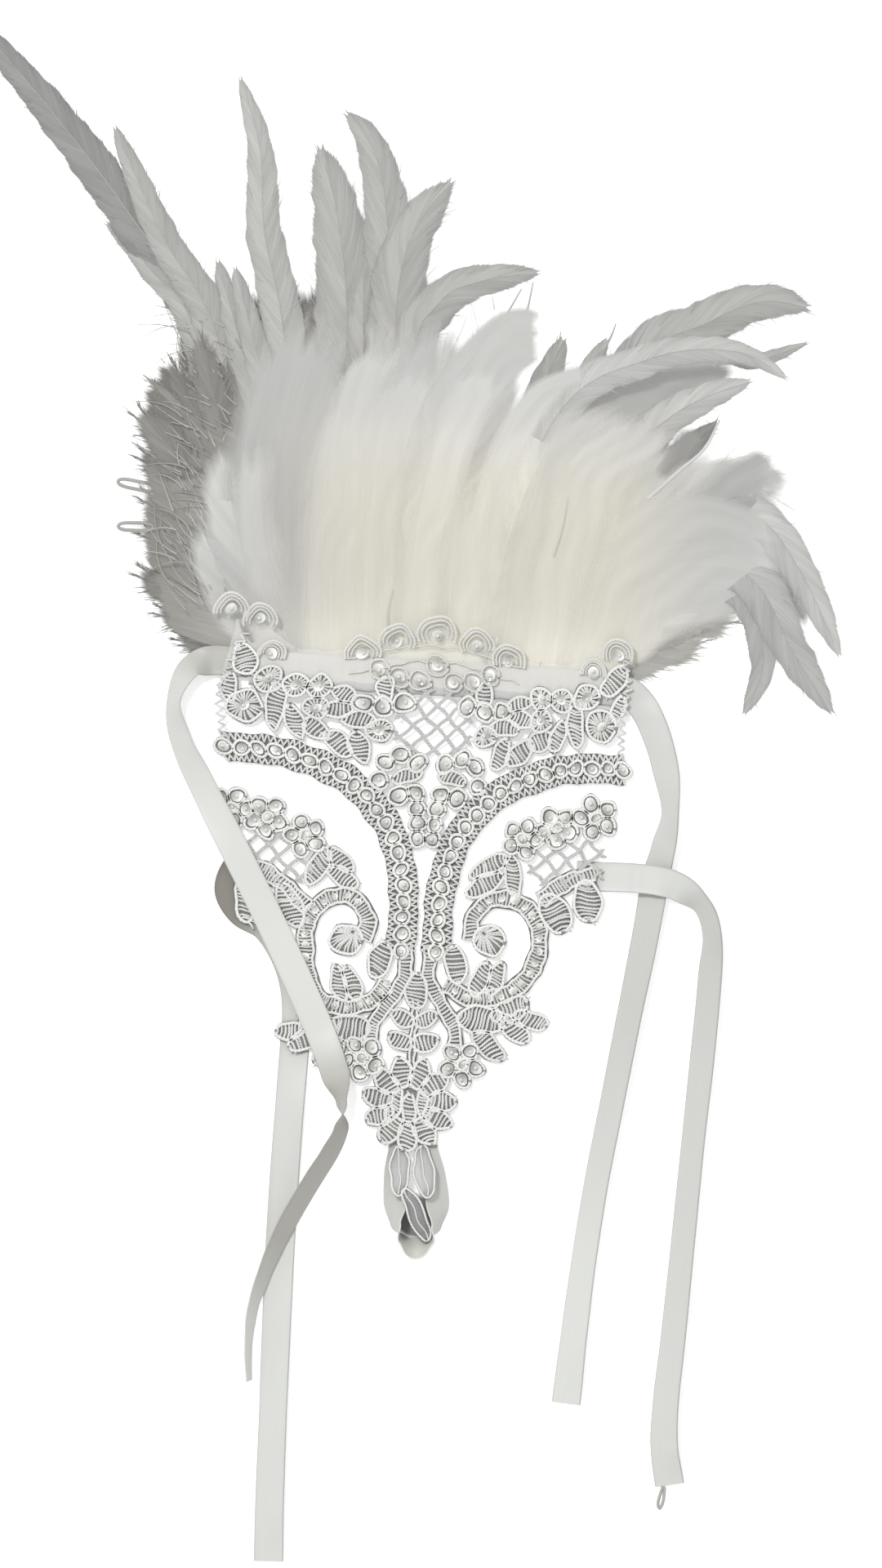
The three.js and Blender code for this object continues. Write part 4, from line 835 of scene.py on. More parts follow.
def feather_finish(name, hair, fine, crisp, clear, vary):
    """Barbs from cool white to cream, with faint streaks; the cool white is darker and the cream lighter as
    painted shade and light, and all glow a little in their own colour as painted light.

    Hair parts their ends, fine is how close the barbs lie, crisp hardens the parting, clear lets light on to
    what is below, and vary is how far the streaks differ.
    """
    finish = Finish(name, Roughness=0.75, Sheen_Weight=0.1, Emission_Strength=0.12)
    streak = finish.group("streaks", finish.place("UV"), Along=0.06, Across=0.9)
    cool, cream = (
        finish.mix(streak, *(tuple(c * (1 + way * vary) for c in colour) for way in (-1, 1)))
        for colour in (COOL_SHADED_BARB, CREAM_LIT_BARB)
    )
    colour = finish.scaled(finish.mix(finish.share("warm"), cool, cream), finish.share("light"))
    finish.colour(colour)
    # Painted light: the barbs glow a little in their own colour, which lifts their shade
    finish.tree.links.new(colour, finish.shader.inputs["Emission Color"])
    barb = finish.group("streaks", finish.place("UV"), Along=0.03, Across=fine)
    parted = math_node(finish.tree, "MULTIPLY_ADD", barb, -hair, 0.5 * hair - 0.5)
    covered = math_node(finish.tree, "MULTIPLY_ADD", finish.share("cover"), 1.5, parted)
    alpha = math_node(finish.tree, "MULTIPLY", covered, crisp)
    alpha.node.use_clamp = True
    finish.sheer(alpha, clear)
    return finish.material


def satin_finish(name, low, high, back, rough):
    """Satin: long float threads as fine streaks, a little gloss, and a darker back by the mesh's share,
    partly a duller back and partly painted shade.
    """
    finish = Finish(name, Roughness=rough, Sheen_Weight=0.1, Anisotropic=0.4)
    streak = finish.group("streaks", finish.place("UV"), Along=0.05, Across=7.0)
    face = finish.mix(finish.share("warm"), finish.mix(streak, low, high), back)
    finish.colour(finish.scaled(face, finish.share("light")))
    finish.rough(streak, rough - 0.05, rough + 0.08)
    finish.bump(streak, 0.05, 0.6)
    return finish.material


def table_finish():
    """Plain pale table top, lit through from below as on a light box.

    The glow is for the eye alone, and a round spot inside the finger loop has a painted shadow: darker, and
    without the glow.
    """
    finish = Finish("pale_table", Roughness=0.9)
    finish.shader.inputs["Emission Color"].default_value = (1.0, 1.0, 1.0, 1.0)
    near = finish.tree.nodes.new("ShaderNodeVectorMath")
    near.operation = "DISTANCE"
    finish.tree.links.new(finish.place("Object"), near.inputs[0])
    near.inputs[1].default_value = [c * MM for c in LOOP_SHADE["middle"]]
    slope = 1 / (LOOP_SHADE["fade"] * MM)
    clear = math_node(finish.tree, "MULTIPLY_ADD", near.outputs["Value"], slope, LOOP_SHADE["start"])
    clear.node.use_clamp = True
    finish.colour(finish.mix(clear, *TONES["table"]))
    seen = finish.tree.nodes.new("ShaderNodeLightPath").outputs["Is Camera Ray"]
    glow = math_node(finish.tree, "MULTIPLY", math_node(finish.tree, "MULTIPLY", seen, TABLE_GLOW), clear)
    finish.tree.links.new(glow, finish.shader.inputs["Emission Strength"])
    return finish.material


CORD_WHITE = thread_finish("lace_cord", (0.82, 0.82, 0.8), (0.96, 0.96, 0.94), 1.3)
SHEER_CORD = thread_finish("lace_sheer_cord", (0.88, 0.87, 0.82), (0.98, 0.97, 0.92), 1.3, 0.72)
STITCH_WHITE = thread_finish("lace_stitch", (0.7, 0.7, 0.68), (0.92, 0.92, 0.9), 1.0)
LACE_NET_AND_SHADE = patterned_finish("lace_net_and_shade", "net", "Object", {"Cells_per_mm": 0.9}, "net", 0.1, Roughness=0.85)
TULLE = tulle_finish()
ORGANZA = patterned_finish(
    "organza", "streaks", "UV", {"Along": 0.6, "Across": 3.0}, "organza", 0.15, Roughness=0.35, Alpha=0.8
)
# Streaks of clear cups over white thread, of glass beads with a pearly lustre, and of horny shafts
CUPPED = {"Along": 900.0, "Across": 700.0}
LUSTRE = {"Along": 120.0, "Across": 120.0}
HORN = {"Along": 0.08, "Across": 3.0}
SEQUIN = patterned_finish(
    "sequin", "streaks", "Object", CUPPED, "sequin", Roughness=0.12, Coat_Weight=0.6, Alpha=0.85
)
SEED_BEAD = patterned_finish(
    "seed_bead", "streaks", "Object", LUSTRE, "bead", Roughness=0.12, Coat_Weight=1.0
)
BARBS = feather_finish("feather_barbs", 2.0, 2.4, 2.0, 0.3, 0.24)
DOWN = feather_finish("feather_down", 0.4, 0.8, 1.15, 0.85, 0.05)
FLUFF = feather_finish("feather_fluff", 1.3, 1.6, 1.3, 0.4, 0.26)
SHAFT = patterned_finish("feather_shaft", "streaks", "UV", HORN, "shaft", Roughness=0.4)
# The satin's back colour is darker than its face: partly its duller back, partly painted shade
SATIN = satin_finish("ribbon_satin", (0.68, 0.69, 0.66), (0.76, 0.77, 0.74), (0.4, 0.385, 0.34), 0.42)
TAPE_SATIN = satin_finish("tape_satin", (0.58, 0.575, 0.57), (0.68, 0.675, 0.67), (0.5, 0.49, 0.48), 0.45)


# Lace


def lace_floor(y):
    """Height of the lace's underside: it climbs onto the tape and over the loop, and its crown curls up."""
    y = np.asarray(y, dtype=float)
    height = LACE_FLOOR + sum(rise * smooth((y - start) / (end - start)) for start, end, rise in LACE_CLIMBS)
    curl = np.maximum(0, (y - LACE_CURL["from"]) / LACE_CURL["reach"]) ** LACE_CURL["power"]
    return height + LACE_CURL["rise"] * curl


def hand_wave(x, y, way):
    """A hand's unevenness across or along the lace: the sum of slow sines of place."""
    return HAND * sum(np.sin(a * x + b * y + start) for a, b, start in HAND_WAVES[way])


def lace_place(x, y):
    """Place across the lace as it lies: drawn to the left near the wrist edge, and a little uneven."""
    pull = np.exp(-(((y - LACE_PULL["at"]) / LACE_PULL["spread"]) ** 2))
    drawn = pull * (LACE_PULL["most"] + np.where(x < 0, LACE_PULL["left"], LACE_PULL["right"]) * x)
    return x + drawn + hand_wave(x, y, "across")


def on_lace(x, y, height):
    """A place on the lace as it lies, at a height above its underside."""
    x, y, height = np.broadcast_arrays(np.asarray(x, float), y, height)
    return np.stack([lace_place(x, y), y + hand_wave(x, y, "along"), lace_floor(y) + height], -1)


def sides_of(side):
    """The sides a motif stands on."""
    return (side,) if side else (1, -1)


def oval_motifs():
    """All round motifs: middle, half length, half width, turn, level above the net, and kind."""
    rows = []
    for x, y, radius, side in ROUNDELS:
        kind = ROSE if radius >= ROSE_FROM else RING
        kind = SHEER if y > SHEER_FROM else FAN if y < FAN_BELOW else kind
        for way in sides_of(side):
            rows.append((way * x, y, radius, radius, 0, LEVEL["roundel"], kind))
    for x, y, ring, petals, petal, phase, side in FLOWERS:
        for way in sides_of(side):
            for i in range(petals):
                angle = math.radians(phase + i * 360 / petals)
                px, py = x + ring * math.cos(angle), y + ring * math.sin(angle)
                rows.append((way * px, py, petal, petal, 0, LEVEL["petal"], RING))
            rows.append((way * x, y, FLOWER_HEART, FLOWER_HEART, 0, LEVEL["heart"], RING))
    flower = TIP_FLOWER
    for i in range(flower["petals"]):
        angle = math.radians(flower["phase"] + i * 360 / flower["petals"])
        reach = flower["reach"] * flower["ring"]
        px, py = reach * math.cos(angle), flower["y"] + reach * math.sin(angle)
        rows.append((px, py, *flower["petal"], math.degrees(angle), LEVEL["middle"], LEAF))
    for x, y, length, width, turn, side in LEAVES:
        for way in sides_of(side):
            lean = turn if way > 0 else 180 - turn
            rows.append((way * x, y, length / 2, width / 2, lean, LEVEL["leaf"], LEAF))
    for x, y, length, width, turn in MIDDLE_LEAVES:
        rows.append((x, y, length / 2, width / 2, turn, LEVEL["middle"], LEAF))
    return np.array(rows, dtype=float)


def band_motifs():
    """The chain of roundels along the middle of both bands."""
    rows = []
    for way in (1, -1):
        _, point, ahead, _ = stations(on_side(way, BAND_LINE), BAND["pitch"])
        turn = np.degrees(np.arctan2(ahead[:, 1], ahead[:, 0]))
        rows.append(joined(point[:, 0], point[:, 1], *BAND["roundel"], turn, LEVEL["band"], RING))
    return np.concatenate(rows)


def on_oval(motif, along, across, height):
    """A place on motifs, given in shares of their half length and half width."""
    x, y, half_length, half_width, turn, level = (motif[:, i] for i in range(6))
    extra = (slice(None),) + (None,) * (np.ndim(along) - 1)
    angle = np.radians(turn)[extra]
    u, v = along * half_length[extra], across * half_width[extra]
    px = x[extra] + u * np.cos(angle) - v * np.sin(angle)
    py = y[extra] + u * np.sin(angle) + v * np.cos(angle)
    return on_lace(px, py, height + level[extra])


def add_outlines(bundle, motif, rng, radius=CORD_RADIUS):
    """A cord round each motif, a little uneven as a hand guides it."""
    angle = full_turn(24)[None, :]
    phase = rng.uniform(0, 2 * np.pi, (3, len(motif), 1))
    waves = [size * np.sin(lobes * angle + start) for (size, lobes), start in zip(OUTLINE_WAVES, phase)]
    wobble = OUTLINE_SHARE + sum(waves)
    path = on_oval(motif, wobble * np.cos(angle), wobble * np.sin(angle), GROUND_HEIGHT + LIFT["outline"])
    add_tubes(bundle, path, radius, 6, 0.85, closed=True, light=rng.uniform(0.94, 1.06, len(motif)))


def add_grounds(bundle, motif, light=1.0):
    """A low dome of grey net that fills each motif with a thin margin about it; its grey, darkest at its rim
    by the cord, is painted shade.
    """
    motif = motif.copy()
    motif[:, 2:4] += NET_MARGIN
    share = np.array([0.02, 0.55, 0.84, 1.0])[None, :, None]
    shade = np.array([1.3, 1.15, 0.8, 0.7])[None, :, None]
    share, angle = np.broadcast_arrays(share, full_turn(20)[None, None, :])
    count = (len(motif),) + share.shape[1:]
    share, angle = (np.broadcast_to(a, count) for a in (share, angle))
    grid = on_oval(motif, share * np.cos(angle), share * np.sin(angle), GROUND_HEIGHT - 0.3 * share**2)
    bundle.add(grid, light=shade * np.reshape(light, (-1, 1, 1)), wrap_columns=True, flip=True)


def numbered(counts):
    """For each stitch of motifs that have these counts: which motif it is on, and its number there."""
    which = np.repeat(np.arange(len(counts)), counts)
    return which, np.arange(len(which)) - np.repeat(np.cumsum(counts) - counts, counts)


def add_cross_stitches(bundle, motif, rng):
    """Satin stitches across each leaf, from edge to edge, fanned towards its ends."""
    counts = np.maximum(3, np.floor(2 * motif[:, 2] / STITCH_PITCH).astype(int))
    which, number = numbered(counts)
    u = -1 + (number + 0.5) * 2 / counts[which]
    reach = np.sqrt(np.maximum(0.05, 1 - u**2)) * 0.97
    t = np.linspace(-1, 1, 5)[None, :]
    fan = 0.16 * u[:, None] * t**2 + 0.1 * t + rng.normal(0, 0.02, (len(u), 1))
    height = GROUND_HEIGHT + LIFT["cross"] + 0.28 * (1 - t**2)
    path = on_oval(motif[which], u[:, None] + fan, reach[:, None] * t, height)
    radius = STITCH_RADIUS * np.array([0.5, 1, 1, 1, 0.5])
    add_tubes(bundle, path, radius, 5, 0.9, light=rng.uniform(0.86, 1.08, len(u)))


def add_spoke_stitches(bundle, motif, rng, inner=0.3, hub=(0.0, 0.0)):
    """Satin stitches from near the hub of each roundel to its edge; the hub lies off the middle in a fan."""
    size = np.sqrt(motif[:, 2] * motif[:, 3])
    counts = np.maximum(6, np.round(2 * np.pi * size * 0.78 / STITCH_PITCH).astype(int))
    which, number = numbered(counts)
    angle = number * 2 * np.pi / counts[which] + rng.normal(0, 0.06, len(which))
    t = np.linspace(0, 1, 4)[None, :]
    share = inner + (0.95 - inner) * t
    hub_x = hub[0] * np.sign(motif[which, 0])[:, None] * (1 - share)
    along = hub_x + share * np.cos(angle)[:, None]
    across = hub[1] * (1 - share) + share * np.sin(angle)[:, None]
    path = on_oval(motif[which], along, across, GROUND_HEIGHT + LIFT["spoke"] + 0.25 * (1 - (2 * t - 1) ** 2))
    radius = STITCH_RADIUS * np.array([0.55, 0.9, 1, 0.6])
    add_tubes(bundle, path, radius, 5, 0.9, light=rng.uniform(0.86, 1.08, len(which)))


def add_arcs(bundle, motif, rng):
    """A scalloped wrist edge: arcs side by side over the top of each sheer roundel."""
    for share, radius in CROWN_ARCS:
        start = rng.uniform(-0.5, -0.1, (len(motif), 1))
        angle = start + np.linspace(0, 1.2 * np.pi, 18)[None, :]
        path = on_oval(motif, share * np.cos(angle), share * np.sin(angle), GROUND_HEIGHT + LIFT["arc"])
        add_tubes(bundle, path, radius, 5, 0.85)


def add_edges(bundle, line, width, radius):
    """The two edge cords of a braid, gently scalloped."""
    _, point, _, left = stations(line, 1.3)
    scallop = 0.16 * np.sin(np.arange(len(point)) * 1.9)[:, None]
    for way in (1, -1):
        edge = point + way * (width / 2 - 0.4 + scallop) * left
        path = on_lace(edge[:, 0], edge[:, 1], GROUND_HEIGHT + LIFT["edge"])
        add_tubes(bundle, path[None], radius, 6, 0.85)


def add_strip_ground(bundle, line, width):
    """Grey net under a braid; its grey, darker along its edges, is painted shade."""
    _, point, _, left = stations(line, 1.5)
    across = np.array([-1.0, -0.7, 0.0, 0.7, 1.0]) * (0.5 * width + NET_MARGIN)
    shade = np.array([0.7, 0.85, 1.2, 0.85, 0.7])
    ground = point[:, None] + across[None, :, None] * left[:, None]
    bundle.add(on_lace(ground[..., 0], ground[..., 1], GROUND_HEIGHT - 0.1)[None], light=shade, flip=True)


def add_strip_stitches(
    bundle, line, width, rng, pitch=STITCH_PITCH, slant=0.0, radius=STITCH_RADIUS, level=0.0
):
    """Satin stitches from edge to edge of a braid; a slant that changes sides makes a zigzag."""
    at, point, ahead, left = stations(line, pitch)
    t = np.linspace(-1, 1, 4)[None, :, None]
    turn = np.where(np.arange(len(at)) % 2, slant, -slant)[:, None, None]
    turn = turn + rng.normal(0, 0.07, (len(at), 1, 1))
    reach = width / 2 * rng.uniform(0.88, 1.0, (len(at), 1, 1))
    route = point[:, None] + t * reach * left[:, None] + t * turn * ahead[:, None]
    height = GROUND_HEIGHT + LIFT["strip"] + level + 0.25 * (1 - t[..., 0] ** 2)
    path = on_lace(route[..., 0], route[..., 1], height)
    radius = radius * np.array([0.7, 1, 1, 0.7])
    add_tubes(bundle, path, radius, 5, 0.9, light=rng.uniform(0.82, 1.08, len(at)))


def net_bars():
    """Ends of the crossed bars, cut to their frame."""
    rows = []
    for x, y, half_width, half_height, spacing, side in NETS:
        step = spacing * math.sqrt(2)
        count = int((half_width + half_height) // step)
        for i in range(-count, count + 1):
            low = max(-half_width, i * step - half_height)
            high = min(half_width, i * step + half_height)
            for slope in (1, -1):
                start = (side * x + slope * low, y + low - i * step)
                rows.append((*start, side * x + slope * high, y + high - i * step))
    return np.array(rows)


def add_sequins(bundle, motif, radius, rng):
    """Shallow clear cups, each tilted a little its own way."""
    profile = np.array([0.05, 0.4, 0.8, 1.0])[None, :, None]
    rise = np.array([0.0, 0.06, 0.3, 0.38])[None, :, None]
    angle = full_turn(12)[None, None, :]
    tilt = rng.normal(0, 0.16, (2, len(motif), 1, 1))
    size = radius[:, None, None]
    x, y = size * profile * np.cos(angle), size * profile * np.sin(angle)
    z = size * rise + tilt[0] * x + tilt[1] * y + GROUND_HEIGHT + LIFT["sequin"]
    mx, my, level = (motif[:, i][:, None, None] for i in (0, 1, 5))
    # Painted glint and shade: each cup is lighter on one side and darker on the other
    glint = np.cos(angle - rng.uniform(0, 2 * np.pi, (len(motif), 1, 1))) * profile
    light = rng.uniform(0.9, 1.15, (len(motif), 1, 1)) * (1.05 + 0.5 * glint)
    bundle.add(on_lace(mx + x, my + y, z + level), light=light, wrap_columns=True, flip=True)


def add_beads(bundle, x, y, radius, height):
    """Small round beads: rings of points from pole to pole."""
    tall = np.linspace(-0.5 * np.pi, 0.5 * np.pi, 6)[None, :, None] * 0.999
    angle = full_turn(8)[None, None, :]
    x, y, radius, height = (np.broadcast_to(a, len(x))[:, None, None] for a in (x, y, radius, height))
    middle = on_lace(x, y, height)
    ring = joined(np.cos(tall) * np.cos(angle), np.cos(tall) * np.sin(angle), np.sin(tall))
    bundle.add(middle + radius[..., None] * ring, wrap_columns=True, flip=True)


def make_lace():
    """The lace panel: grey net whose tone is painted shade between the stitches, outline cords, stitches,
    sequins and beads; its wrist edge is sheer.
    """
    rng = np.random.default_rng(SEED)
    motif = np.concatenate([oval_motifs(), band_motifs()])
    kinds = (LEAF, RING, ROSE, FAN, SHEER)
    leaves, rings, roses, fans, sheer = (motif[motif[:, 6] == kind] for kind in kinds)
    solid = np.concatenate([leaves, rings, roses, fans])
    cords, stitches, grounds, sequins, beads, sheer_cords = (Bundle() for _ in range(6))
    heart = np.array([(0.0, TIP_FLOWER["y"], TIP_FLOWER["heart"], TIP_FLOWER["heart"], 0.0, -0.1, ROSE)])
    add_grounds(grounds, np.concatenate([solid, heart]))
    add_outlines(cords, solid, rng)
    crown = sheer[sheer[:, 2] > CROWN_FROM]
    add_outlines(sheer_cords, sheer[sheer[:, 2] <= CROWN_FROM], rng, CORD_SIZE["sheer"])
    add_arcs(sheer_cords, crown, rng)
    add_cross_stitches(stitches, leaves, rng)
    add_spoke_stitches(stitches, roses, rng)
    add_spoke_stitches(stitches, fans, rng, **FAN_HUB)
    for way in (1, -1):
        band = on_side(way, BAND_LINE)
        _, point, _, left = stations(band, 1.0)
        edge = (BAND["width"] - BAND["border"]) / 2
        add_strip_ground(grounds, band, BAND["net"])
        for shift in (edge, -edge):
            add_strip_stitches(stitches, point + shift * left, BAND["border"], rng, **BORDER_ZIGZAG)
        scroll = on_side(way, SCROLLS[way])
        braids = [(SCROLL_WIDTH, scroll, 0)]
        braids += [(width, on_side(way, line), side) for width, line, side in STRIPS]
        for width, line, side in braids:
            sheer_braid = line[:, 1].mean() > SHEER_FROM
            if way not in sides_of(side) or (sheer_braid and width < SHEER_BRAID):
                continue
            if sheer_braid:
                add_edges(sheer_cords, line, width, CORD_SIZE["sheer_edge"])
            elif width < NARROW:
                add_strip_stitches(stitches, line, width, rng, **STRIP_ZIGZAG)
            else:
                add_edges(cords, line, width, CORD_SIZE["edge"])
                add_strip_ground(grounds, line, width)
                add_strip_stitches(stitches, line, width, rng)
        run = scroll[: int(SCROLL_SEQUINS["share"] * len(scroll))]
        _, point, _, _ = stations(run, SCROLL_SEQUINS["pitch"])
        size = np.full(len(point), SEQUIN_SIZE["scroll"])
        row = joined(point[:, 0], point[:, 1], size, size, 0, SCROLL_SEQUINS["level"])
        add_sequins(sequins, row, size, rng)
        add_beads(beads, point[:, 0], point[:, 1], BEAD_SIZE["scroll"], GROUND_HEIGHT + LIFT["scroll_bead"])
    stem = np.array([(0.0, STEM["top"]), (0.0, STEM["bottom"])])
    add_edges(cords, stem, STEM["width"], CORD_SIZE["stem"])
    add_strip_ground(grounds, stem, STEM["width"])
    bars = net_bars()
    t = np.linspace(0, 1, 16)[None, :]
    bar_x = bars[:, 0:1] + (bars[:, 2:3] - bars[:, 0:1]) * t
    bar_y = bars[:, 1:2] + (bars[:, 3:4] - bars[:, 1:2]) * t
    sway = 0.3 * np.sin(t * 15 + rng.uniform(0, 6, (len(bars), 1)))
    for shift in (-NET_BAR["gap"], NET_BAR["gap"]):
        height = NET_BAR["height"] + 0.2 * np.sin(t * 24 + shift * 9)
        path = on_lace(bar_x + sway + shift, bar_y + 0.5 * sway, height)
        add_tubes(cords, path, CORD_SIZE["net"], 5, light=NET_BAR["light"])
    add_sequins(sequins, rings, SEQUIN_SIZE["ring"] * np.minimum(rings[:, 2], rings[:, 3]), rng)
    for row, kind in ((roses, "rose"), (sheer, "sheer")):
        add_sequins(sequins, row, np.full(len(row), SEQUIN_SIZE[kind]), rng)
    jewelled = np.concatenate([rings, roses, sheer])
    off = rng.normal(0, 0.2, (2, len(jewelled)))
    height = GROUND_HEIGHT + LIFT["bead"] + jewelled[:, 5]
    add_beads(beads, jewelled[:, 0] + off[0], jewelled[:, 1] + off[1], BEAD_SIZE["motif"], height)
    lace = grounds.make("lace_ground_net_and_shade", LACE_NET_AND_SHADE, "lace")
    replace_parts(lace, "lace_panel")
    cords.make("lace_outline_cords", CORD_WHITE, "lace")
    sheer_cords.make("lace_sheer_cords", SHEER_CORD, "lace")
    stitches.make("lace_satin_stitches", STITCH_WHITE, "lace")
    sequins.make("lace_cup_sequins", SEQUIN, "lace")
    beads.make("lace_seed_beads", SEED_BEAD, "lace")


def make_tulle():
    """Sheer tulle along the wrist edge: its top line dips between the crown and the corner flowers."""
    x = np.linspace(*TULLE_EDGE["ends"], 67)[:, None]
    swell, spread = TULLE_EDGE["crown"]
    rise, start, reach = TULLE_EDGE["corner"]
    top = TULLE_EDGE["base"] + swell * np.exp(-((x / spread) ** 2))
    top = top + rise * smooth((np.abs(x) - start) / reach)
    y = TULLE_EDGE["bottom"] + (top - TULLE_EDGE["bottom"]) * np.linspace(0, 1, 14)[None, :]
    bundle = Bundle()
    bundle.add(on_lace(x, y, TULLE_EDGE["height"])[None])
    tulle = bundle.make("wrist_edge_tulle", TULLE, "lace")


def make_sheer_leaves():
    """Three organza leaves with corded edges, hanging from the tip over the finger loop."""
    rng = np.random.default_rng(SEED + 1)
    table = np.array(SHEER_LEAVES, dtype=float)
    level = 0.15 * np.arange(len(table))
    motif = np.stack([table[:, 0], table[:, 1], table[:, 2] / 2, table[:, 3] / 2, table[:, 4], level], -1)
    leaves, cords = Bundle(), Bundle()
    add_grounds(leaves, motif, table[:, 5])
    angle = full_turn(30)[None, :]
    path = on_oval(motif, 0.98 * np.cos(angle), 0.98 * np.sin(angle), GROUND_HEIGHT + LIFT["leaf_cord"])
    add_tubes(cords, path, CORD_SIZE["leaf"], 6, closed=True, light=rng.uniform(0.95, 1.05, len(motif)))
    t = np.linspace(-0.9, 0.95, 12)[None, :] * np.ones((len(motif), 1))
    rib = on_oval(motif, t, 0.1 * np.sin(2.2 * t), GROUND_HEIGHT + LIFT["leaf_rib"])
    add_tubes(cords, rib, CORD_SIZE["rib"], 5)
    leaves.make("tip_leaves_organza", ORGANZA, "lace")
    cords.make("tip_leaves_cords", CORD_WHITE, "lace")


# Feathers


class Plume:
    """The shaft of one plume: plan, height and width by distance from its root."""

    def __init__(self, row, rise, root_height):
        self.row = row
        plan = spline(row["line"], 40)
        run = path_length(plan[None])[0]
        self.length = run[-1]
        beyond = plan[-1] + VANE["beyond"] * unit(plan[-1] - plan[-2])
        self.run = np.append(run, run[-1] + VANE["beyond"])
        self.plan = np.concatenate([plan, beyond[None]])
        self.ahead = unit(np.gradient(self.plan, axis=0))
        up = row["crown"] * smooth((self.run - rise["start"]) / (rise["share"] * self.length))
        settle = (row["end"] - row["crown"]) * smooth((self.run - 0.5 * self.length) / (0.5 * self.length))
        self.height = np.maximum(root_height + up + settle, 0.35)
        self.grown = smooth((self.run - rise["start"]) / SHAFT_GROWTH)

    def half_width(self, distance):
        """Half the vane's width: it opens from the root, then a power curve closes it to the tip."""
        s = np.clip(distance / self.length, 0, 1)
        opened = VANE["start"] + (1 - VANE["start"]) * smooth(s / VANE["full"])
        bow = VANE["bow"] + VANE["round_bow"] * self.row["round"]
        taper = VANE["taper"] - VANE["round_taper"] * self.row["round"]
        return np.maximum(VANE["least"], self.row["width"] / 2 * opened * (1 - s**bow) ** taper)

    def look(self, values, distance):
        """A value that is known along the shaft, at a distance from the root."""
        return np.interp(distance, self.run, values)

    def at(self, distance, offset):
        """A place on the vane, at a distance along the shaft and an offset to its left."""
        x = self.look(self.plan[:, 0], distance) - self.look(self.ahead[:, 1], distance) * offset
        y = self.look(self.plan[:, 1], distance) + self.look(self.ahead[:, 0], distance) * offset
        drop = BLADE_CAMBER * np.abs(offset) * self.look(self.grown, distance)
        return np.stack([x, y, np.maximum(self.look(self.height, distance) - drop, 0.2)], -1)


def cream_lit_share(points):
    """Cream and painted light in the middle of the front row, near the lace, and cool white, painted darker,
    outside it.
    """
    x, y = points[..., 0], points[..., 1]
    inside = smooth((CREAM_LIT["half_width"] - np.abs(x - CREAM_LIT["middle"])) / CREAM_LIT["fade"])
    return inside * smooth((CREAM_LIT["top"] - y) / CREAM_LIT["fade"])


def ripple(rng, place, periods):
    """A slow uneven wave between about -1 and 1: sines of several periods, each with its own start."""
    return sum(np.sin(2 * np.pi * (place / period + rng.random())) for period in periods) / len(periods)


def add_plume(vanes, shafts, plume, rng, light, warm=None, fringe=1.3, wave=0.1, fluff=0.3, shaft=0.6):
    """Each side of a vane is a sheet of barbs that lean from shaft to tip and thin out at the fringe."""
    tau = np.linspace(0, 1, 8)
    shift = 400 * rng.random()
    base = np.linspace(0.02, 0.99, max(16, int(plume.length / VANE["pitch"]))) * plume.length
    lean = np.radians(38 - 18 * base / plume.length)
    for way in (1, -1):
        end = np.minimum(base + plume.half_width(base) / np.tan(lean), 1.005 * plume.length)
        half = plume.half_width(np.minimum(end, 0.998 * plume.length))
        half = half * (1 + wave * ripple(rng, base, (23.0, 14.0, 8.0)))
        distance = base[:, None] + (end - base)[:, None] * tau**1.15
        points = plume.at(distance, way * half[:, None] * tau**0.92)
        sway = ripple(rng, base, (26.0, 15.0, 9.0))[:, None] * tau**2 * np.minimum(0.1 * half, 0.9)[:, None]
        points[..., 2] = np.maximum(points[..., 2] + sway, 0.2)
        reach = np.hypot(half, end - base)[:, None]
        cover = np.clip((1 - tau) * reach / fringe, 0, 1)
        uv = joined(tau * reach + shift, base[:, None] + shift * way)
        shade = light * (1 + 0.1 * ripple(rng, base, (31.0, 17.0, 7.0)))[:, None]
        # Painted light and shade: the vane's left half is lighter than its right, and its rim darker
        shade = shade * (1.05 + 0.05 * way - 0.3 * tau**6)
        tint = cream_lit_share(points) if warm is None else np.full(points.shape[:2], warm)
        vanes.add(points[None], uv, tint, shade, cover, flip=way > 0)
        add_fringe(vanes, plume, rng, way, int(fluff * plume.length), light, warm)
    if shaft:
        d = np.linspace(0, 0.96 * plume.length, 30)[None, :]
        path = plume.at(d, 0 * d)
        path[..., 2] += 0.1
        add_tubes(shafts, path, 0.06 + shaft * (1 - d / plume.length) ** 1.3, 6, 0.7)


def add_fringe(vanes, plume, rng, way, count, light, warm):
    """Single hair-fine barbs that stray past the outline of a vane."""
    base = rng.uniform(0.1, 0.96, count) * plume.length
    lean = np.radians(rng.uniform(20, 52, count))
    end = np.minimum(base + plume.half_width(base) / np.tan(lean), 1.01 * plume.length)
    half = plume.half_width(np.minimum(end, 0.995 * plume.length))
    tau = np.linspace(0, 1, 5)[None, :] * rng.uniform(0.3, 0.6, (count, 1)) + 0.6
    distance = base[:, None] + (end - base)[:, None] * tau
    path = plume.at(distance, way * half[:, None] * tau)
    curl = rng.normal(0, 0.9, (count, 1)) * np.linspace(0, 1, 5)[None, :] ** 2
    path[..., 0] += curl
    path[..., 1] += 0.6 * np.roll(curl, 1, 0)
    path[..., 2] = np.maximum(path[..., 2] + rng.normal(0, 0.4, (count, 1)), 0.25)
    barb = unit(np.gradient(path, axis=1))
    wide = unit(np.cross(UP, barb)) * np.array([0.16, 0.14, 0.11, 0.08, 0.03])[None, :, None]
    grid = np.stack([path - wide, path + wide], 2)
    tint = cream_lit_share(grid) if warm is None else np.full(grid.shape[:3], warm)
    vanes.add(grid, None, tint, light * rng.uniform(0.94, 1.06, (count, 1, 1)))


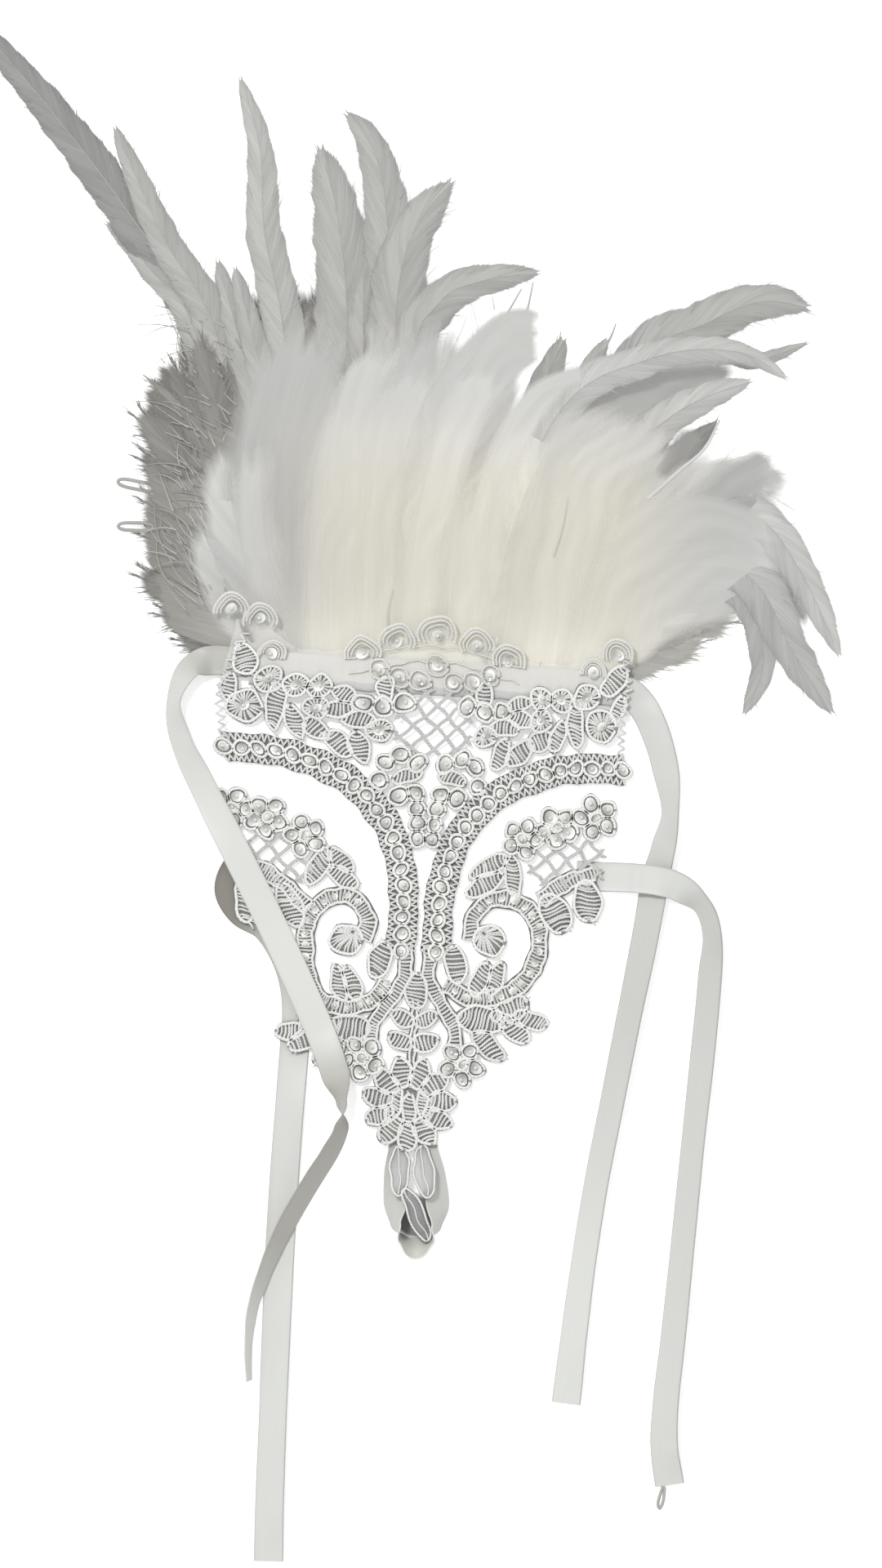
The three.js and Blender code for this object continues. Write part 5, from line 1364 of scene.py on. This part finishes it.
def dome_height(x, y):
    """Height of the front row: a swell from the roots, lower to both sides, with a small fall at its end."""
    side = 1 - np.minimum(((x - DOME["middle"]) / DOME["half_width"]) ** 2, DOME["most_side"])
    swell = DOME["height"] * side * smooth((y - DOME["start"]) / DOME["reach"])
    return DOME["root"] + swell - DOME["fall"] * smooth((y - DOME["fall_start"]) / DOME["fall_reach"])


def add_tuft(bundle, row, lift, rng, warm, end_shade):
    """A sheet of long barbs between two edges, over the dome in faint folds; its end and sides thin out."""
    left, right, bulge, fade, side, rise, light = (row[name] for name in TUFT_COLUMNS)
    rows, columns = TUFT_GRID
    s, t = np.linspace(0, 1, rows), np.linspace(0, 1, columns)
    lines = [spline(line) for line in (left, right)]
    edges = [stations(line, path_length(line[None])[0, -1] / (rows - 0.999))[1][:rows] for line in lines]
    plan = edges[0][:, None] + (edges[1] - edges[0])[:, None] * t[None, :, None]
    end = unit(edges[1][-1] - edges[0][-1])
    out = np.array([-end[1], end[0]]) * bulge
    plan = plan + out * (4 * t * (1 - t))[None, :, None] * (s**2)[:, None, None]
    wide = np.linalg.norm(edges[1] - edges[0], axis=1)[:, None]
    tall = 0.5 * sum(path_length(edge[None])[0, -1] for edge in edges)
    place = t[None, :] * np.maximum(wide, 0.6 * wide.max())
    fold = ripple(rng, place + 5 * ripple(rng, s[:, None] * tall, (60.0, 35.0)), (24.0, 13.0, 7.0))
    x, y = plan[..., 0], plan[..., 1]
    grown = smooth(y / TUFT_LIFT["grown"])
    z = DOME["root"] + rise * (dome_height(x, y) - DOME["root"]) + grown * (lift + 0.5 * fold)
    uneven = 0.25 * fade * (1 + ripple(rng, place, (17.0, 9.0, 5.0)))
    ends = np.clip(((1 - s[:, None]) * tall - uneven) / fade, 0, 1)
    if warm is None and left[0][1] > TUFT_ROOT["from"]:
        ends = ends * np.clip(s[:, None] * tall / TUFT_ROOT["fade"], 0, 1)
    cover = ends * np.clip(np.minimum(t, 1 - t) * wide / side, 0, 1)
    uv = joined(s[:, None] * tall, place + 300 * rng.random())
    points = np.stack([x, y, z], -1)
    shade = light * (1 + 0.02 * ripple(rng, place, (19.0, 11.0, 5.0)))
    # Painted light and shade: lighter low on the dome and darker towards its top, and lighter towards each
    # tuft's end
    shade = shade * (0.96 - 0.08 * smooth((y - 10) / 90)) * (0.98 + 0.06 * s[:, None] ** 3)
    # Painted shade darkening a tuft towards its end, for the low side feathers
    shade = shade * (1 + end_shade * (0.5 - s[:, None]))
    tint = cream_lit_share(points) if warm is None else warm
    bundle.add(points[None], uv, tint, shade, cover, flip=True)


def add_strands(bundle, rng):
    """Bare shafts and single barbs, and the barbs that double back into loops."""
    for line, above, root, tip, light in STRANDS:
        _, point, _, _ = stations(spline(line), 1.2)
        x, y = point.T
        z = np.where(x < EDGE_STRANDS["x"], EDGE_STRANDS["height"], dome_height(x, y)) + above
        path = np.concatenate([point, z[:, None]], 1)[None]
        add_tubes(bundle, path, np.linspace(root, tip, len(point)), 6, 0.7, warm=0.0, light=light)
    for _ in range(WISPS["count"]):
        drawn = ("x", "y", "lean", "length", "light")
        x, y, lean, length, light = (rng.uniform(*WISPS[name]) for name in drawn)
        run = np.linspace(0, length, WISPS["points"])
        turn = np.radians(lean + rng.uniform(*WISPS["bend"]) * run / length)
        z = WISPS["top"] - WISPS["fall"] * run / length
        path = np.stack([x + run * np.cos(turn), y + run * np.sin(turn), z], -1)[None]
        add_tubes(bundle, path, np.linspace(*WISPS["radius"], WISPS["points"]), 5, 0.6, warm=0.2, light=light)
    angle = full_turn(24)
    for x, y, length, width, turn in BARB_LOOPS:
        u = 0.5 * length * (np.cos(angle) - 1)
        v = 0.5 * width * np.sin(angle) * (1 + LOOP_BARB["nip"] * np.cos(2 * angle))
        c, s = math.cos(math.radians(turn)), math.sin(math.radians(turn))
        path = joined(x + u * c - v * s, y + u * s + v * c, LOOP_BARB["height"])[None]
        add_tubes(bundle, path, LOOP_BARB["radius"], 6, 0.7, closed=True, warm=0.3, light=LOOP_BARB["light"])


def rows_of(table, columns):
    """Table rows with their column names."""
    return [dict(zip(columns, row)) for row in table]


def make_feathers():
    """Both rows of feathers: the named plumes of the solids, and soft tufts that fill the rows."""
    rng = np.random.default_rng(SEED + 2)
    shafts, back, low, front, soft = (Bundle() for _ in range(5))
    for i, row in enumerate(rows_of(BACK_PLUMES, PLUME_COLUMNS)):
        plume = Plume(row, BACK_RISE, BACK_ROOT_HEIGHT)
        if i >= LOW_FROM:
            row["round"] = 1.0
            light = rng.uniform(*LOW_LIGHT) if row["line"][0][0] < 0 else OTHER_LIGHT["low_right"]
            add_plume(low, shafts, plume, rng, light, **LOW_STYLE)
        else:
            add_plume(back, shafts, plume, rng, BACK_LIGHT.get(i, OTHER_LIGHT["back"]), **BACK_STYLE)
    for i, row in enumerate(rows_of(FRONT_PLUMES, PLUME_COLUMNS)):
        broad = row["width"] > VANE["broad"]
        if broad:
            row.update(crown=FRONT_SINK * row["crown"], end=FRONT_SINK * row["end"])
            light = OTHER_LIGHT["broad_left" if row["line"][-1][0] < BROAD_LEFT else "broad"]
        else:
            light = FRONT_LIGHT.get(i, OTHER_LIGHT["front"])
        plume = Plume(row, FRONT_RISE, FRONT_ROOT_HEIGHT)
        bundle, style = (soft, BROAD_STYLE) if broad else (front, FRONT_STYLE)
        add_plume(bundle, shafts, plume, rng, light, **style)
    for table, bundle, look in ((SOFT_TUFTS, soft, "soft"), (LOW_TUFTS, low, "low")):
        for i, row in enumerate(rows_of(table, TUFT_COLUMNS)):
            add_tuft(bundle, row, TUFT_LIFT["first"] + TUFT_LIFT["step"] * i, rng, *TUFT_LOOK[look])
    add_strands(front, rng)
    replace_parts(back.make("back_plume_vanes", BARBS, "plume"), "feather_row_back")
    low.make("back_low_fluff", FLUFF, "plume")
    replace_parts(front.make("front_plume_vanes", BARBS, "feather"), "feather_row_front")
    soft.make("front_soft_tufts", DOWN, "feather")
    shafts.make("plume_shafts", SHAFT, "plume")


# Ribbons


def ribbon_route(rows):
    """Plan, and height under, roll and width share, along cubics timed by the root of each span's chord."""
    table = np.array(rows, dtype=float)
    p = table[:, :2]
    ends = np.concatenate([2 * p[:1] - p[1:2], p, 2 * p[-1:] - p[-2:-1]])
    span = np.sqrt(np.linalg.norm(np.diff(ends, axis=0), axis=1))[:, None]
    p0, p1, p2, p3 = ends[:-3], ends[1:-2], ends[2:-1], ends[3:]
    d0, d1, d2 = span[:-2], span[1:-1], span[2:]
    slope_a = d1 * ((p1 - p0) / d0 - (p2 - p0) / (d0 + d1) + (p2 - p1) / d1)
    slope_b = d1 * ((p2 - p1) / d1 - (p3 - p1) / (d1 + d2) + (p3 - p2) / d2)
    t = np.linspace(0, 1, RIBBON_SPAN_POINTS, endpoint=False)[:, None, None]
    plan = cubic(p1, p2, slope_a, slope_b, t)
    eased = smooth(t[:, :, 0])
    rest = table[:-1, None, 2:] + (table[1:] - table[:-1])[:, None, 2:] * eased[None]
    rest = rest.reshape(-1, table.shape[1] - 2)
    return np.concatenate([plan, p[-1:]]), np.concatenate([rest, table[-1:, 2:]])


def ribbon_grid(rows):
    """A thin band with thicker selvedges, carried along its route and standing on what is under it."""
    plan, rest = ribbon_route(rows)
    under, roll = rest[:, 0], np.radians(rest[:, 1])
    share = rest[:, 2] if rest.shape[1] > 2 else np.ones(len(rest))
    ahead = unit(np.gradient(plan, axis=0))
    flat = np.stack([-ahead[:, 1], ahead[:, 0], 0 * roll], -1)
    across = np.cos(roll)[:, None] * flat + np.sin(roll)[:, None] * UP
    face = np.cos(roll)[:, None] * UP - np.sin(roll)[:, None] * flat
    half = RIBBON_WIDTH / 2 * share
    lift = half * np.abs(np.sin(roll)) + RIBBON_THICKNESS / 2 * np.abs(np.cos(roll))
    middle = np.concatenate([plan, (under + lift)[:, None]], axis=1)
    w, thick = np.transpose(RIBBON_SECTION)
    w, f = np.concatenate([w, w[::-1]]), np.concatenate([thick, -thick[::-1]])
    grid = middle[:, None] + (half[:, None] * w)[..., None] * across[:, None]
    grid = grid + f[None, :, None] * face[:, None]
    run = path_length(middle[None])[0]
    uv = joined(run[:, None], (w * RIBBON_WIDTH / 2)[None])
    return grid, uv, middle, run[-1]


def make_frayed_thread(name, plan):
    """A thread that curls out of a ribbon's cut end."""
    plan = spline(plan)
    path = np.concatenate([plan, np.full((len(plan), 1), FRAYED_THREAD["height"])], 1)[None]
    bundle = Bundle()
    add_tubes(bundle, path, FRAYED_THREAD["radius"], 6, warm=FRAYED_THREAD["dull_and_shade"])
    return bundle.make(name + "_frayed_thread", SATIN, "satin")


def make_ribbon(name, rows, node, free=True):
    """One satin ribbon; a free one gets its frayed thread, where one is listed."""
    grid, uv, middle, length = ribbon_grid(rows)
    middles = [grid[i].mean(0, keepdims=True).repeat(grid.shape[1], 0)[None] for i in (0, -1)]
    near = [(0.97 * grid[i] + 0.03 * grid[j])[None] for i, j in ((0, 1), (-1, -2))]
    closed = np.concatenate([middles[0], grid[:1], near[0], grid[1:-1], near[1], grid[-1:], middles[1]])
    uv = np.concatenate([uv[:1], uv[:1], uv, uv[-1:], uv[-1:]])
    bundle = Bundle()
    at = uv[None, :, :, 0] / length
    # Painted light and shade along the ribbon, with its darker back partly painted shade; the ties' selvedges
    # paint a shadow line
    dull_and_shade, light = (np.interp(at, *np.transpose(RIBBON_LOOKS[node][look])) for look in ("dull_and_shade", "light"))
    right, left = (way * uv[None, :, :, 1] > SELVEDGE_FROM * RIBBON_WIDTH for way in (-1, 1))
    edge_light_and_shade = np.select([right, left], RIBBON_LOOKS[node]["edge"], 1.0)
    bundle.add(closed[None], uv, dull_and_shade, light * edge_light_and_shade, wrap_columns=True, flip=True)
    ribbon = bundle.make(name, SATIN, "satin")
    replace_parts(ribbon, node)
    if free:
        [make_frayed_thread(name, FRAYED[node])] if node in FRAYED else []


def make_tape():
    """Binding tape: a slightly quilted satin strip with rolled edges over the feather roots."""
    x = np.linspace(TAPE["left"], TAPE["right"], 126)[:, None]
    across = np.linspace(-1, 1, 15)[None, :]
    middle, half = (TAPE["top"] + TAPE["bottom"]) / 2, (TAPE["top"] - TAPE["bottom"]) / 2
    y = middle + half * across + 0.15 * np.sin(x * 0.9)
    pucker = 0.12 * np.sin(x * 1.7 + 0.6 * np.sin(x * 0.31)) * (1 - across**2)
    top = TAPE["floor"] + TAPE["thickness"] * (0.55 + 0.4 * (1 - across**6)) + pucker
    upper, lower = joined(x, y, top), joined(x, y, TAPE["floor"])
    grid = np.concatenate([upper, lower[:, ::-1]], axis=1)
    uv = joined(x, np.concatenate([across, across[:, ::-1]], 1) * half)
    bundle = Bundle()
    bundle.add(grid[None], uv, 0.0, wrap_columns=True, flip=True)
    tape = bundle.make("binding_tape_satin", TAPE_SATIN, "tape")
    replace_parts(tape, "binding_tape")


# Stage


def make_stage():
    """Pale table, soft light with a small key from the upper left, and the camera straight above."""
    bpy.ops.mesh.primitive_plane_add(size=TABLE_SIZE, location=(0, 0, 0))
    table = bpy.context.object
    table.name = "table_top"
    table.data.materials.append(table_finish())
    world = bpy.data.worlds.new("soft_room")
    world.use_nodes = True
    background = world.node_tree.nodes["Background"]
    background.inputs["Color"].default_value = (1.0, 1.0, 1.0, 1.0)
    background.inputs["Strength"].default_value = SKY_STRENGTH
    scene = bpy.context.scene
    scene.world = world
    scene.view_settings.view_transform = "Standard"
    light = bpy.data.lights.new("key", "AREA")
    light.energy = KEY_LIGHT["energy"]
    light.size = KEY_LIGHT["size"]
    key = bpy.data.objects.new("key", light)
    key.location = KEY_LIGHT["place"]
    key.rotation_euler = (*map(math.radians, KEY_LIGHT["turn"]), 0)
    scene.collection.objects.link(key)
    lens = bpy.data.cameras.new("camera")
    lens.lens = CAMERA["lens"] * CAMERA["height"]
    lens.sensor_width = CAMERA["sensor"]
    lens.clip_end = CAMERA["far"]
    camera = bpy.data.objects.new("camera", lens)
    camera.location = (*CAMERA["place"], CAMERA["height"])
    camera.rotation_euler = (0, 0, math.radians(CAMERA["turn"]))
    scene.collection.objects.link(camera)
    scene.camera = camera


make_lace()
make_tulle()
make_sheer_leaves()
make_feathers()
make_tape()
for where, route in TIES.items():
    make_ribbon("ribbon_" + where, route, "wrist_ribbon_" + where)
make_ribbon("ribbon_finger_loop", FINGER_LOOP, "finger_loop", free=False)
make_stage()
